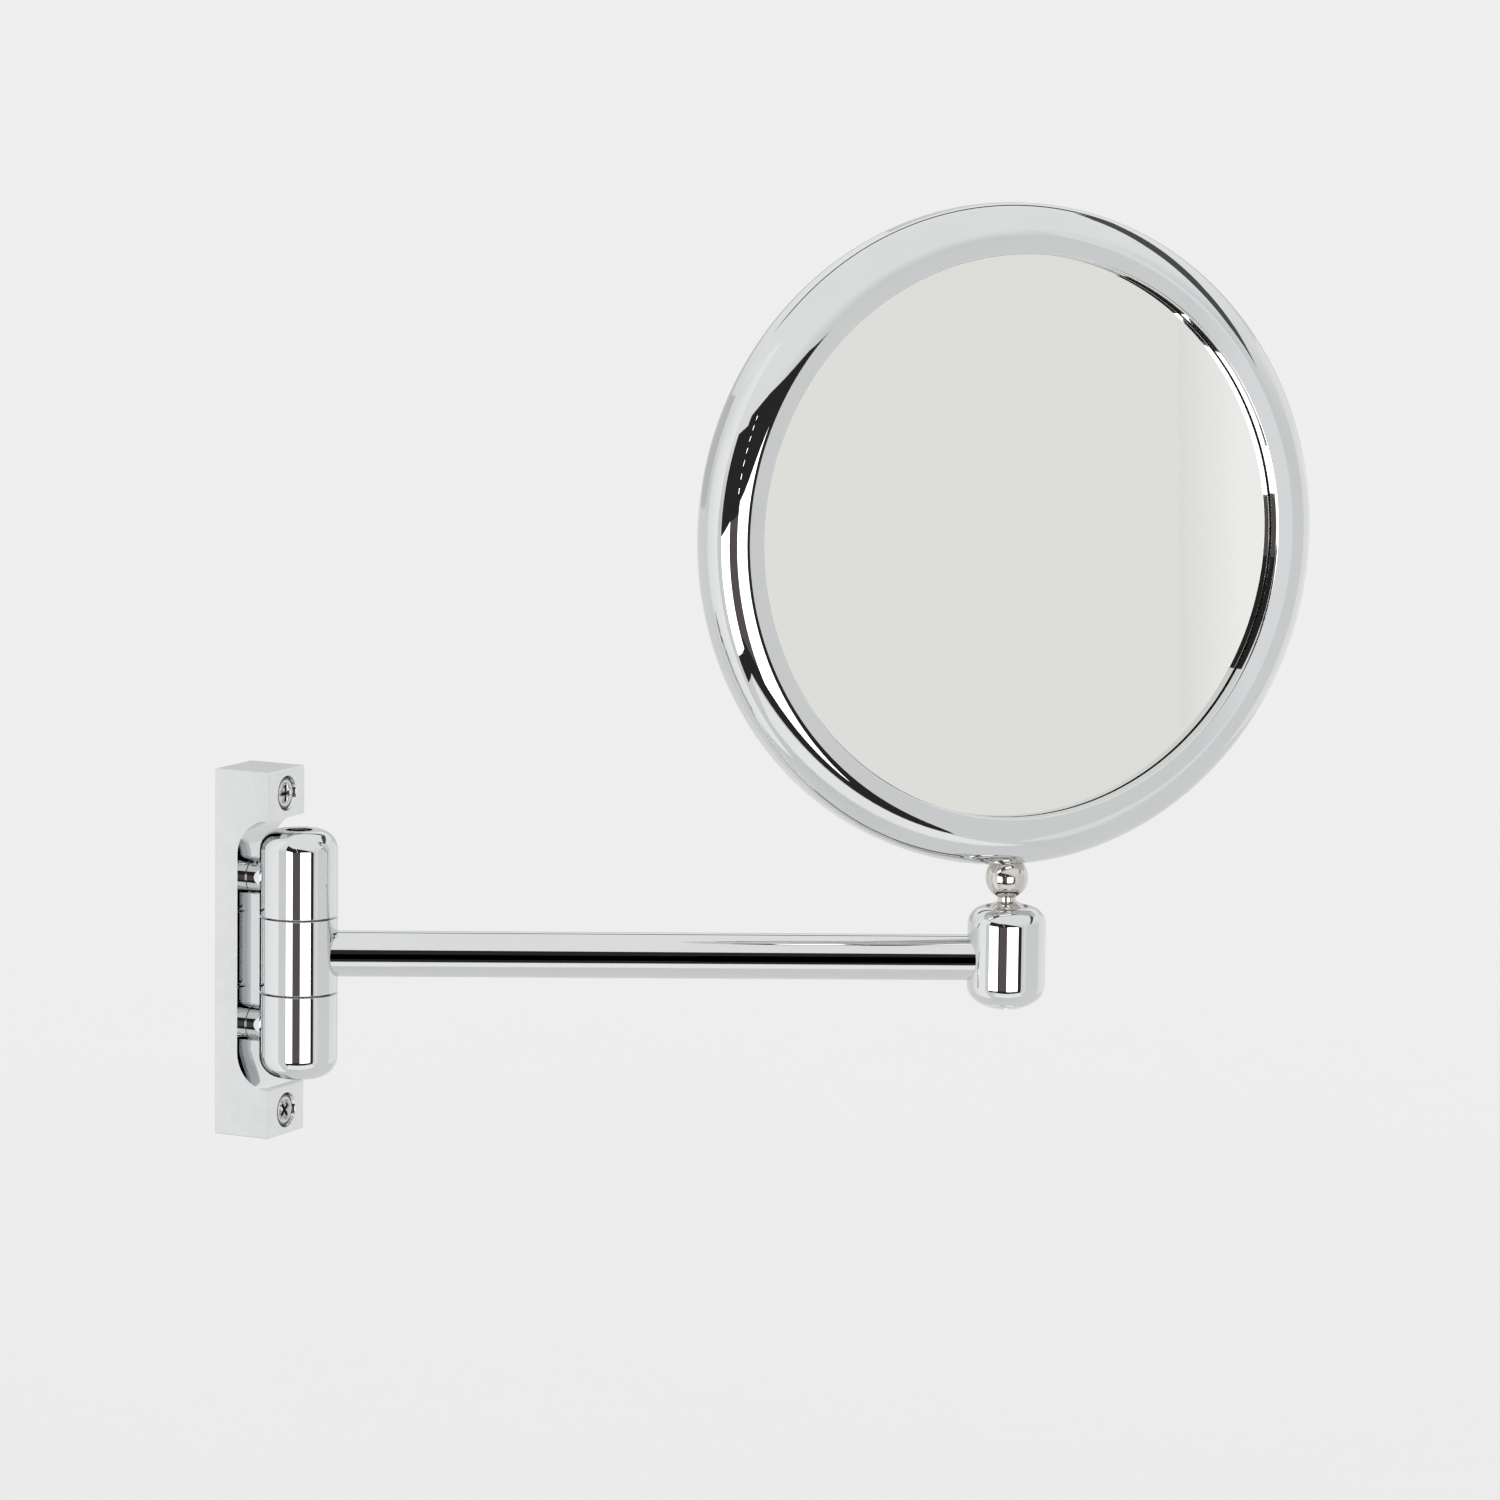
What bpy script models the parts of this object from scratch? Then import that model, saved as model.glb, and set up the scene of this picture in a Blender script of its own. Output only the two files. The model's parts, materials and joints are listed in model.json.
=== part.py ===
"""Extendable shaving mirror for a family bathroom, as an assembly of separate pieces.

Origin: centre of the wall bracket's back face. +Z is up, the wall is at +Y, the room at -Y.
All lengths below are in millimetres and are turned into metres when the meshes are made.
"""
import math

import bmesh
import bpy
from mathutils import Matrix

MM = 0.001

# Wall bracket
BRACKET_W, BRACKET_D, BRACKET_H = 21.0, 19.0, 112.0
WEB = 8.0                      # thickness behind the recess
RECESS_HALF_H = 41.2
RECESS_R = 10.9                # radius of the recess's two inner corners
EDGE = 0.5                     # broken edge on the bracket
WALL_SCREW_Z = 48.6
WALL_SCREW_HEAD_R = 4.7
STANDOFF_Z = 22.6
STANDOFF_R = 5.7
STANDOFF_BORE_R = 1.9

# Barrel that carries the arm
BARREL_Y = -23.3
BARREL_R = 11.9
BARREL_TOP = 37.9
BARREL_TOP_R, BARREL_FOOT_R = 6.2, 6.7    # radii of its rounded ends
SEAM_Z = 11.6                  # middle of the gap between hub and cap
SEAM_HALF = 0.25
BOLT_R = 3.0
BOLT_HEAD_R = 3.8
BOLT_HOLE_R = 4.1              # counterbore in the top cap
BOLT_HOLE_FLOOR = 29.2
BUSH_R = 5.9
POCKET_R, POCKET_DEEP = 9.3, 0.7    # pocket for a friction washer on each side of a seam

# Arm
ARM_TURN = 29.2                # degrees from straight out, towards +X
ARM_L = 214.5                  # barrel axis to knuckle axis
TUBE_R, TUBE_BORE_R = 7.0, 5.6
SPIGOT_R = 5.3

# Knuckle and ball joint
KNUCKLE_R = 11.9
KNUCKLE_TOP, KNUCKLE_BOTTOM = 15.9, -15.9
KNUCKLE_TOP_R = 5.6
KNUCKLE_DOME_R = 17.0          # shallow dome across the underside
SOCKET_R = 9.0
MOUTH_R, MOUTH_LOW = 6.5, 14.65     # opening that the stem's neck stands in
DRIVER_HALF_L, DRIVER_HALF_W, DRIVER_DEEP = 7.0, 0.7, 1.9    # slot across the adjuster
BALL_Z = 10.7                  # centre of the held ball above the arm's axis
BALL_R = 7.3
KNOB_R = 6.5                   # the ball that shows above the knuckle
KNOB_UP = 13.9                 # knob's centre above the held ball's centre
NECK_R = 2.8

# Mirror head
MIRROR_TURN = -39.9            # degrees the glass faces from straight out, towards -X
MIRROR_TILT = 1.8              # degrees tipped back
MIRROR_UP = 118.0              # ring's centre above the held ball's centre
RING_R = 100.0
RING_HALF = 12.0               # half the ring's thickness
RING_ROUND = 10.4              # radius of the rounded outside
LIP_R = 84.8
GLASS_DOWN = 4.6               # depth of the glass's face below the lip
WALL = 2.0                     # thickness of the ring's shell
CAVITY_R = 88.6                # bore of the shell behind the lip
GLASS_R = 88.0
PLAIN_T = 4.0
CURVED_T = 3.0
CURVED_SAG = 3.0               # how far the magnifying glass is dished at its middle

GAP = 0.3                      # usual gap between two pieces at rest
RUN = 0.1                      # gap all round a turning shaft
SMALL, MID, BIG = 16, 32, 44   # sides of screws, of the barrel and knuckle, and of the ring


def clear_scene():
    """Remove every object, mesh and material that the file starts with."""
    for obj in list(bpy.data.objects):
        bpy.data.objects.remove(obj, do_unlink=True)
    for mesh in list(bpy.data.meshes):
        bpy.data.meshes.remove(mesh)
    for mat in list(bpy.data.materials):
        bpy.data.materials.remove(mat)


def material(name, colour, roughness, metallic):
    """A Principled material with the given colour, roughness and metallic."""
    mat = bpy.data.materials.new(name)
    mat.use_nodes = True
    shader = mat.node_tree.nodes["Principled BSDF"]
    shader.inputs["Base Color"].default_value = (*colour, 1.0)
    shader.inputs["Roughness"].default_value = roughness
    shader.inputs["Metallic"].default_value = metallic
    mat.diffuse_color = (*colour, 1.0)
    return mat


CHROME = (0.82, 0.83, 0.84)
STEEL = (0.68, 0.68, 0.67)
BRASS = (0.72, 0.58, 0.32)
NYLON = (0.86, 0.85, 0.81)
RUBBER = (0.05, 0.05, 0.05)
BOARD = (0.42, 0.38, 0.33)
SILVERED = (0.90, 0.92, 0.91)

FINISH = {                     # roughness, metallic
    "chrome": (CHROME, 0.06, 1.0),
    "steel": (STEEL, 0.25, 1.0),
    "brass": (BRASS, 0.35, 1.0),
    "nylon": (NYLON, 0.55, 0.0),
    "rubber": (RUBBER, 0.75, 0.0),
    "board": (BOARD, 0.85, 0.0),
    "mirror": (SILVERED, 0.01, 1.0),
}


def add(name, bm, finish, place=None, parent=None):
    """Turn a bmesh in millimetres into a named object in metres, facing outwards."""
    if place is not None:
        bm.transform(place)
    bm.transform(Matrix.Scale(MM, 4))
    bmesh.ops.recalc_face_normals(bm, faces=bm.faces)
    mesh = bpy.data.meshes.new(name)
    bm.to_mesh(mesh)
    bm.free()
    obj = bpy.data.objects.new(name, mesh)
    bpy.context.scene.collection.objects.link(obj)
    colour, roughness, metallic = FINISH[finish]
    mesh.materials.append(material(name, colour, roughness, metallic))
    mesh.shade_smooth()
    mesh.set_sharp_from_angle(angle=math.radians(35))
    obj.parent = parent
    return obj


def empty(name, parent, at, turns):
    """An empty on a joint's axis. turns is a list of (axis, degrees), the outermost first."""
    obj = bpy.data.objects.new(name, None)
    bpy.context.scene.collection.objects.link(obj)
    obj.parent = parent
    spin = Matrix.Identity(4)
    for axis, degrees in turns:
        spin = spin @ Matrix.Rotation(math.radians(degrees), 4, axis)
    obj.matrix_local = Matrix.Translation([v * MM for v in at]) @ spin
    return obj


def cut(obj, cutters):
    """Take each cutter out of obj with an exact boolean."""
    for cutter in cutters:
        cutter.hide_render = True
        cutter.display_type = "WIRE"
        cutter.parent = obj.parent
        mod = obj.modifiers.new(cutter.name, "BOOLEAN")
        mod.operation = "DIFFERENCE"
        mod.solver = "EXACT"
        mod.object = cutter


def lathe(profile, segments=MID):
    """Turn a section of (radius, height) points about Z. Points at radius 0 close the ends.

    A section whose ends are both off the axis is joined from its last point to its first.
    """
    bm = bmesh.new()
    rows = []
    for r, z in profile:
        if r < 1e-9:
            rows.append([bm.verts.new((0.0, 0.0, z))])
            continue
        row = []
        for i in range(segments):
            a = 2 * math.pi * i / segments
            row.append(bm.verts.new((r * math.cos(a), r * math.sin(a), z)))
        rows.append(row)
    pairs = list(zip(rows, rows[1:]))
    if len(rows[0]) > 1 and len(rows[-1]) > 1:
        pairs.append((rows[-1], rows[0]))
    for low, high in pairs:
        for i in range(segments):
            j = (i + 1) % segments
            if len(low) == 1:
                bm.faces.new((low[0], high[j], high[i]))
            elif len(high) == 1:
                bm.faces.new((low[i], low[j], high[0]))
            else:
                bm.faces.new((low[i], low[j], high[j], high[i]))
    return bm


def arc(r, z, radius, start, stop, steps):
    """Points on an arc about (r, z), from start to stop degrees, 0 being outwards."""
    points = []
    for i in range(steps + 1):
        a = math.radians(start + (stop - start) * i / steps)
        points.append((r + radius * math.cos(a), z + radius * math.sin(a)))
    return points


def rod(radius, low, high, segments=MID):
    """A plain round bar on Z."""
    return lathe([(0, low), (radius, low), (radius, high), (0, high)], segments)


def tube(outer, inner, low, high, segments=MID):
    """A plain round tube or washer on Z."""
    return lathe([(inner, low), (outer, low), (outer, high), (inner, high)], segments)


def box(x0, x1, y0, y1, z0, z1):
    """A box between the given limits."""
    bm = bmesh.new()
    bmesh.ops.create_cube(bm, size=1.0)
    size = Matrix.Diagonal((x1 - x0, y1 - y0, z1 - z0, 1.0))
    bm.transform(Matrix.Translation(((x0 + x1) / 2, (y0 + y1) / 2, (z0 + z1) / 2)) @ size)
    return bm


def prism(outline, x0, x1):
    """A bar along X whose section is a list of (y, z) points."""
    bm = bmesh.new()
    near = [bm.verts.new((x0, y, z)) for y, z in outline]
    far = [bm.verts.new((x1, y, z)) for y, z in outline]
    bm.faces.new(near)
    bm.faces.new(reversed(far))
    for i in range(len(outline)):
        j = (i + 1) % len(outline)
        bm.faces.new((near[i], far[i], far[j], near[j]))
    return bm


def moved(x=0.0, y=0.0, z=0.0):
    """A shift in millimetres."""
    return Matrix.Translation((x, y, z))


OUTWARD = Matrix.Rotation(math.radians(90), 4, "X")    # turns +Z to -Y, out into the room


# ---------------------------------------------------------------- wall bracket

def wall_bracket():
    """The C-shaped back plate: two end blocks joined by a web, with its screw holes."""
    half, front, web = BRACKET_H / 2, -BRACKET_D, -WEB
    top = arc(web - RECESS_R, RECESS_HALF_H - RECESS_R, RECESS_R, 0, 90, 8)
    recess = [(y, z) for y, z in top] + [(front, RECESS_HALF_H)]
    outline = [(0, -half), (0, half), (front, half)]
    outline += list(reversed(recess))
    outline += [(y, -z) for y, z in recess]
    outline += [(front, -half)]
    body = add("wall_bracket", prism(outline, -BRACKET_W / 2, BRACKET_W / 2), "chrome")
    bevel = body.modifiers.new("broken_edges", "BEVEL")
    bevel.width = EDGE * MM
    bevel.segments = 1
    bevel.limit_method = "ANGLE"
    bevel.angle_limit = math.radians(50)
    cutters = []
    for word, side in (("top", 1), ("bottom", -1)):
        at = moved(z=side * WALL_SCREW_Z) @ OUTWARD
        hole = lathe([(0, -1), (2.6, -1), (2.6, BRACKET_D - 3.6), (5.0, BRACKET_D - 0.8),
                      (5.0, BRACKET_D + 1), (0, BRACKET_D + 1)], SMALL)
        cutters.append(add(f"cut_wall_screw_{word}", hole, "chrome", at))
        at = moved(z=side * STANDOFF_Z) @ OUTWARD
        hole = lathe([(0, -1), (4.4, -1), (4.4, 0.6), (2.3, 2.9), (2.3, WEB + 1), (0, WEB + 1)],
                     SMALL)
        cutters.append(add(f"cut_back_screw_{word}", hole, "chrome", at))
    cut(body, cutters)


def wall_screws():
    """Two countersunk cross-head screws through the end blocks, ending at the wall plane."""
    for word, side, turn in (("top", 1, 0), ("bottom", -1, 38)):
        head = BRACKET_D - 0.5
        spin = Matrix.Rotation(math.radians(turn), 4, "Z")
        at = moved(z=side * WALL_SCREW_Z) @ OUTWARD @ spin
        shape = lathe([(0, 0), (2.2, 0), (2.2, head - 3.0), (WALL_SCREW_HEAD_R, head - 0.5),
                       (WALL_SCREW_HEAD_R, head), (0, head)], SMALL)
        screw = add(f"wall_screw_{word}", shape, "steel", at)
        slots = []
        for n, (w, d) in enumerate(((2.4, 0.55), (0.55, 2.4))):
            bar = box(-w, w, -d, d, head - 1.8, head + 1)
            slots.append(add(f"cut_cross_{word}_{n}", bar, "steel", at))
        cut(screw, slots)


def standoffs():
    """Two short round posts that hold the barrel's caps off the bracket."""
    end = -BARREL_Y - BARREL_R + 2.0                     # past the saddle's deepest point
    for word, side in (("top", 1), ("bottom", -1)):
        at = moved(z=side * STANDOFF_Z) @ OUTWARD
        shape = lathe([(0, WEB + GAP), (STANDOFF_R - 0.4, WEB + GAP), (STANDOFF_R, WEB + 0.7),
                       (STANDOFF_R, end), (0, end)], 24)
        post = add(f"standoff_{word}", shape, "chrome", at)
        saddle = add(f"cut_saddle_{word}", rod(BARREL_R + GAP, -8, 8), "chrome",
                     moved(y=BARREL_Y, z=side * STANDOFF_Z))
        bore = add(f"cut_standoff_{word}", rod(STANDOFF_BORE_R, WEB - 1, end + 1, SMALL),
                   "chrome", at)
        cut(post, [saddle, bore])


def back_screws():
    """Two countersunk machine screws from the bracket's back into the barrel's caps."""
    for word, side in (("top", 1), ("bottom", -1)):
        at = moved(z=side * STANDOFF_Z) @ OUTWARD
        shape = lathe([(0, 0.4), (3.9, 0.4), (3.9, 0.8), (1.6, 3.2), (1.6, 16.6), (0, 16.6)], SMALL)
        screw = add(f"back_screw_{word}", shape, "steel", at)
        slots = []
        for n, (w, d) in enumerate(((1.9, 0.4), (0.4, 1.9))):
            bar = box(-w, w, -d, d, -1, 1.7)
            slots.append(add(f"cut_back_cross_{word}_{n}", bar, "steel", at))
        cut(screw, slots)


# ---------------------------------------------------------------- barrel and its pivot

def barrel_caps():
    """The two fixed ends of the barrel. The top one has the sunk hole for the pivot bolt."""
    low, bore = SEAM_Z + SEAM_HALF, BOLT_R + GAP
    foot = [(bore, low + POCKET_DEEP), (POCKET_R, low + POCKET_DEEP), (POCKET_R, low),
            (BARREL_R - 0.2, low), (BARREL_R, low + 0.2)]
    ends = [arc(BARREL_R - r, BARREL_TOP - r, r, 0, 84, 6) for r in (BARREL_TOP_R, BARREL_FOOT_R)]
    top = foot + ends[0] + [(BOLT_HOLE_R, BARREL_TOP), (BOLT_HOLE_R, BOLT_HOLE_FLOOR),
                            (bore, BOLT_HOLE_FLOOR)]
    bottom = [(0, 27.2), (bore, 27.2)] + foot + ends[1] + [(0, BARREL_TOP)]
    bottom = [(r, -z) for r, z in bottom]
    for word, side, section in (("top", 1, top), ("bottom", -1, bottom)):
        cap = add(f"barrel_{word}_cap", lathe(section), "chrome", moved(y=BARREL_Y))
        at = moved(z=side * STANDOFF_Z) @ OUTWARD
        hole = add(f"cut_cap_{word}", rod(STANDOFF_BORE_R, 10, -BARREL_Y - 5.0, SMALL),
                   "chrome", at)
        cut(cap, [hole])


def pivot_bolt():
    """The long bolt down the barrel, with a socket head sunk in the top cap."""
    shape = lathe([(0, -26.6), (2.5, -26.6), (BOLT_R, -26.1), (BOLT_R, 30.8), (BOLT_HEAD_R, 30.8),
                   (BOLT_HEAD_R, 34.9), (3.5, 35.2), (2.0, 35.2), (2.0, 32.8), (0, 32.2)], SMALL)
    add("pivot_bolt", shape, "steel", moved(y=BARREL_Y))


def pivot_washers():
    """A sprung washer under the bolt's head and a friction washer in each seam."""
    at = moved(y=BARREL_Y)
    sprung = lathe([(3.3, 29.5), (3.9, 29.8), (3.9, 30.5), (3.3, 30.2)], SMALL)
    add("spring_washer", sprung, "steel", at)
    inner, outer = BOLT_R + GAP, 9.0
    for word, side in (("top", 1), ("bottom", -1)):
        shape = tube(outer, inner, side * SEAM_Z - 0.65, side * SEAM_Z + 0.65, SMALL)
        add(f"friction_washer_{word}", shape, "nylon", at)


# ---------------------------------------------------------------- arm

def arm_hub(pivot):
    """The middle of the barrel, which turns with the arm."""
    high = SEAM_Z - SEAM_HALF
    floor, bore = high - POCKET_DEEP, BUSH_R + RUN
    upper = [(BARREL_R, high - 0.2), (BARREL_R - 0.2, high), (POCKET_R, high),
             (POCKET_R, floor), (bore, floor)]
    section = upper + [(r, -z) for r, z in reversed(upper)]
    hub = add("arm_hub", lathe(section), "chrome", None, pivot)
    hole = add("cut_hub", rod(BOLT_R + GAP, 5.0, 14.0, SMALL), "chrome", OUTWARD)
    cut(hub, [hole])


def hub_bushes(pivot):
    """Two bearing bushes pressed into the hub."""
    for word, side in (("top", 1), ("bottom", -1)):
        low, high = sorted((side * 0.4, side * 10.4))
        add(f"hub_bush_{word}", tube(BUSH_R, BOLT_R + RUN, low, high, SMALL), "brass", None, pivot)


def arm_tube(pivot):
    """The plain round tube, saddled to the barrel at one end and the knuckle at the other."""
    body = add("arm_tube", tube(TUBE_R, TUBE_BORE_R, 8.0, ARM_L - 8.0, 24), "chrome", OUTWARD, pivot)
    inner = add("cut_tube_inner", rod(BARREL_R + GAP, -20, 20), "chrome")
    outer = add("cut_tube_outer", rod(KNUCKLE_R + GAP, -20, 20), "chrome", moved(y=-ARM_L))
    cut(body, [inner, outer])


def arm_spigots(pivot):
    """Two turned plugs that join the tube to the hub and to the knuckle."""
    shoulder, end = 12.5, 30.0
    body = [(BOLT_R, shoulder), (SPIGOT_R, shoulder), (SPIGOT_R, end),
            (SPIGOT_R - 0.6, end + 0.6), (0, end + 0.6)]
    near = [(0, 7.0), (2.6, 7.0), (BOLT_R, 7.4)] + body
    add("arm_spigot_inner", lathe(near, SMALL), "brass", OUTWARD, pivot)
    far = [(0, 9.6), (2.6, 9.6), (BOLT_R, 10.0)] + body
    far = [(r, ARM_L - z) for r, z in far]
    add("arm_spigot_outer", lathe(far, SMALL), "brass", OUTWARD, pivot)


# ---------------------------------------------------------------- knuckle and ball joint

def dome_height(r):
    """Height of the knuckle's domed underside at radius r."""
    return KNUCKLE_BOTTOM + KNUCKLE_DOME_R - math.sqrt(KNUCKLE_DOME_R ** 2 - r ** 2)


def knuckle(pivot):
    """The round housing at the arm's end that holds the ball."""
    slope = math.asin(SOCKET_R / KNUCKLE_DOME_R)
    corner = (KNUCKLE_R - SOCKET_R) / (1 - math.sin(slope))
    corner_z = dome_height(SOCKET_R) + corner * math.cos(slope)
    section = [(MOUTH_R, MOUTH_LOW), (7.4, MOUTH_LOW), (SOCKET_R, 13.2)]
    section += arc(KNUCKLE_R - corner, corner_z, corner, math.degrees(slope) - 90, 0, 5)
    section += arc(KNUCKLE_R - KNUCKLE_TOP_R, KNUCKLE_TOP - KNUCKLE_TOP_R, KNUCKLE_TOP_R, 0, 84, 5)
    section += [(MOUTH_R + 0.2, KNUCKLE_TOP), (MOUTH_R, KNUCKLE_TOP - 0.2)]
    body = add("knuckle", lathe(section), "chrome", moved(y=-ARM_L), pivot)
    hole = add("cut_knuckle", rod(BOLT_R + GAP, ARM_L - 13.0, ARM_L - 7.0, SMALL), "chrome",
               OUTWARD)
    cut(body, [hole])


def adjuster(pivot):
    """The slotted, threaded plug in the knuckle's underside that sets how stiff the ball is."""
    rim, steps = SOCKET_R - GAP, 6
    section = [(rim * i / steps, dome_height(rim * i / steps)) for i in range(steps + 1)]
    section += [(rim, -8.6), (rim - 0.5, -8.1), (0, -8.1)]
    plug = add("adjuster_plug", lathe(section, SMALL), "chrome", moved(y=-ARM_L), pivot)
    slot = box(-DRIVER_HALF_L, DRIVER_HALF_L, -DRIVER_HALF_W, DRIVER_HALF_W,
               KNUCKLE_BOTTOM - 1, KNUCKLE_BOTTOM + DRIVER_DEEP)
    cut(plug, [add("cut_adjuster", slot, "chrome", moved(y=-ARM_L), pivot)])


def pressure_spring(pivot):
    """A coil spring between the adjuster and the pressure cup."""
    bm = bmesh.new()
    wire, mean, turns, steps, sides = 0.75, 6.6, 3.0, 16, 5
    low, high = -8.1 + GAP + wire, -0.9 - GAP - wire
    count = int(turns * steps)
    rings = []
    for i in range(count + 1):
        f = i / count
        a = 2 * math.pi * turns * f
        z = low + (high - low) * f
        ring = []
        for k in range(sides):
            b = 2 * math.pi * k / sides
            r = mean + wire * math.cos(b)
            ring.append(bm.verts.new((r * math.cos(a), r * math.sin(a), z + wire * math.sin(b))))
        rings.append(ring)
    for one, two in zip(rings, rings[1:]):
        for k in range(sides):
            j = (k + 1) % sides
            bm.faces.new((one[k], one[j], two[j], two[k]))
    bm.faces.new(rings[0])
    bm.faces.new(reversed(rings[-1]))
    add("pressure_spring", bm, "steel", moved(y=-ARM_L), pivot)


def pressure_cup(pivot):
    """The sliding cup that the spring pushes up under the ball."""
    seat = BALL_R + 1.3
    bowl = [(max(r, 0), z) for r, z in arc(0, BALL_Z, seat, -90, -22, 6)]
    section = bowl + [(SOCKET_R - GAP, bowl[-1][1]), (SOCKET_R - GAP, -0.4), (8.2, -0.9), (0, -0.9)]
    add("pressure_cup", lathe(section, SMALL), "brass", moved(y=-ARM_L), pivot)


def seat_ring(pivot):
    """The plastic ring that the ball bears up against, just under the knuckle's mouth."""
    inner = arc(0, 0, BALL_R + 0.15, 27, 4, 3)
    section = inner + [(8.7, inner[-1][1]), (8.7, 2.3), (7.9, inner[0][1])]
    add("seat_ring", lathe(section, SMALL), "nylon", None, pivot)


def ball_liner(pivot):
    """A thin plastic cup between the ball and the pressure cup."""
    inner = arc(0, 0, BALL_R + 0.15, -90, -42, 6)
    outer = arc(0, 0, BALL_R + 0.95, -42, -90, 6)
    section = [(max(r, 0), z) for r, z in inner + outer]
    add("ball_liner", lathe(section, SMALL), "nylon", None, pivot)


def ball_stem(pivot):
    """One turned piece: held ball, neck, the knob that shows, and the stud into the ring."""
    drop = math.degrees(math.asin(NECK_R / BALL_R))
    rise = math.degrees(math.asin(NECK_R / KNOB_R))
    ring_low = MIRROR_UP - RING_R
    flat_top = ring_low - GAP
    crown = math.degrees(math.asin((flat_top - KNOB_UP) / KNOB_R))
    section = [(max(r, 0), z) for r, z in arc(0, 0, BALL_R, -90, 90 - drop, 10)]
    section += arc(0, KNOB_UP, KNOB_R, -90 + rise, crown, 7)
    section += [(BOLT_R, flat_top), (BOLT_R, ring_low + 8.3), (2.5, ring_low + 8.8),
                (0, ring_low + 8.8)]
    add("ball_stem", lathe(section, SMALL), "steel", None, pivot)


# ---------------------------------------------------------------- mirror head

HEAD = moved(z=MIRROR_UP) @ OUTWARD          # ring's middle, with its turning axis to the front


def mirror_ring(pivot):
    """The rounded shell: flat front rim, rounded outside, open at the back."""
    flat = RING_R - RING_ROUND
    side = RING_HALF - RING_ROUND
    inner = RING_ROUND - WALL
    outside = arc(flat, side, RING_ROUND, 90, 0, 4) + arc(flat, -side, RING_ROUND, 0, -90, 4)
    inside = arc(flat, -side, inner, -75, 0, 3) + arc(flat, side, inner, 0, 90, 3)
    section = [(LIP_R, RING_HALF - 0.3), (LIP_R + 0.3, RING_HALF)] + outside
    section += [(flat, -RING_HALF + 1.0), (flat + 1.0, -RING_HALF + WALL + 0.3)] + inside[1:]
    section += [(CAVITY_R, RING_HALF - WALL), (CAVITY_R, RING_HALF - GLASS_DOWN + 0.9),
                (LIP_R, RING_HALF - GLASS_DOWN + 0.9)]
    body = add("mirror_ring", lathe(section, BIG), "chrome", HEAD, pivot)
    hole = add("cut_stud", rod(BOLT_R + GAP, 14.0, 24.0, SMALL), "chrome", None, pivot)
    cut(body, [hole])


def stud_boss(pivot):
    """The threaded block brazed inside the shell, which the stem's stud screws into."""
    low, high = MIRROR_UP - RING_R + WALL + 1.4, MIRROR_UP - CAVITY_R - 2 * GAP
    body = add("stud_boss", box(-6, 6, -5, 5, low, high), "brass", None, pivot)
    hole = add("cut_boss", rod(BOLT_R + GAP, low - 1, high + 1, SMALL), "brass", None, pivot)
    cut(body, [hole])


def glasses(pivot):
    """The plain glass in front and the dished magnifying glass behind."""
    face = RING_HALF - GLASS_DOWN
    plain = lathe([(0, face - PLAIN_T), (GLASS_R, face - PLAIN_T), (GLASS_R, face), (0, face)], BIG)
    add("plain_glass", plain, "mirror", HEAD, pivot)
    steps = 4
    outer, inner = [], []
    for i in range(steps + 1):
        r = GLASS_R * i / steps
        dish = CURVED_SAG * (1 - (r / GLASS_R) ** 2)
        outer.append((r, -face + dish))
        inner.append((r, -face + CURVED_T + dish))
    add("magnifying_glass", lathe(outer + list(reversed(inner)), BIG), "mirror", HEAD, pivot)


def packing(pivot):
    """Gasket rings at both glasses, and the board and spacer ring between the two."""
    face = RING_HALF - GLASS_DOWN
    front = tube(GLASS_R - 0.2, LIP_R + 1.2, face + 0.15, face + 0.75, BIG)
    add("front_gasket", front, "rubber", HEAD, pivot)
    back = tube(GLASS_R - 0.2, LIP_R + 1.2, -face - 0.75, -face - 0.15, BIG)
    add("back_gasket", back, "rubber", HEAD, pivot)
    behind = face - PLAIN_T - GAP
    board = lathe([(0, behind - 1.6), (GLASS_R - 0.5, behind - 1.6), (GLASS_R - 0.5, behind),
                   (0, behind)], BIG)
    add("backing_board", board, "board", HEAD, pivot)
    spacer = tube(GLASS_R - 0.2, 78.0, -face + CURVED_T + 1.0, behind - 1.6 - GAP, BIG)
    add("spacer_ring", spacer, "nylon", HEAD, pivot)


def back_bezel(pivot):
    """The ring screwed in from behind that holds the magnifying glass."""
    rim = RING_R - RING_ROUND - GAP
    face = -RING_HALF
    glass = -(RING_HALF - GLASS_DOWN)
    section = [(LIP_R, face + 0.3), (LIP_R + 0.3, face), (rim - 0.2, face), (rim, face + 0.2),
               (rim, glass + 2.4), (GLASS_R + 0.3, glass + 2.4), (GLASS_R + 0.3, glass - 0.9),
               (LIP_R, glass - 0.9)]
    add("back_bezel", lathe(section, BIG), "chrome", HEAD, pivot)


def build():
    """Make every piece of the mirror in the pose it is stored in."""
    clear_scene()
    wall_bracket()
    wall_screws()
    standoffs()
    back_screws()
    barrel_caps()
    pivot_bolt()
    pivot_washers()
    arm = empty("arm_pivot", None, (0, BARREL_Y, 0), [("Z", ARM_TURN)])
    arm_hub(arm)
    hub_bushes(arm)
    arm_tube(arm)
    arm_spigots(arm)
    knuckle(arm)
    adjuster(arm)
    pressure_spring(arm)
    pressure_cup(arm)
    turn = MIRROR_TURN - ARM_TURN
    swivel = empty("swivel_pivot", arm, (0, -ARM_L, BALL_Z), [("Z", turn)])
    seat_ring(swivel)
    head = empty("mirror_pivot", arm, (0, -ARM_L, BALL_Z), [("Z", turn), ("X", -MIRROR_TILT)])
    ball_liner(head)
    ball_stem(head)
    mirror_ring(head)
    stud_boss(head)
    glasses(head)
    packing(head)
    back_bezel(head)


build()
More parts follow.
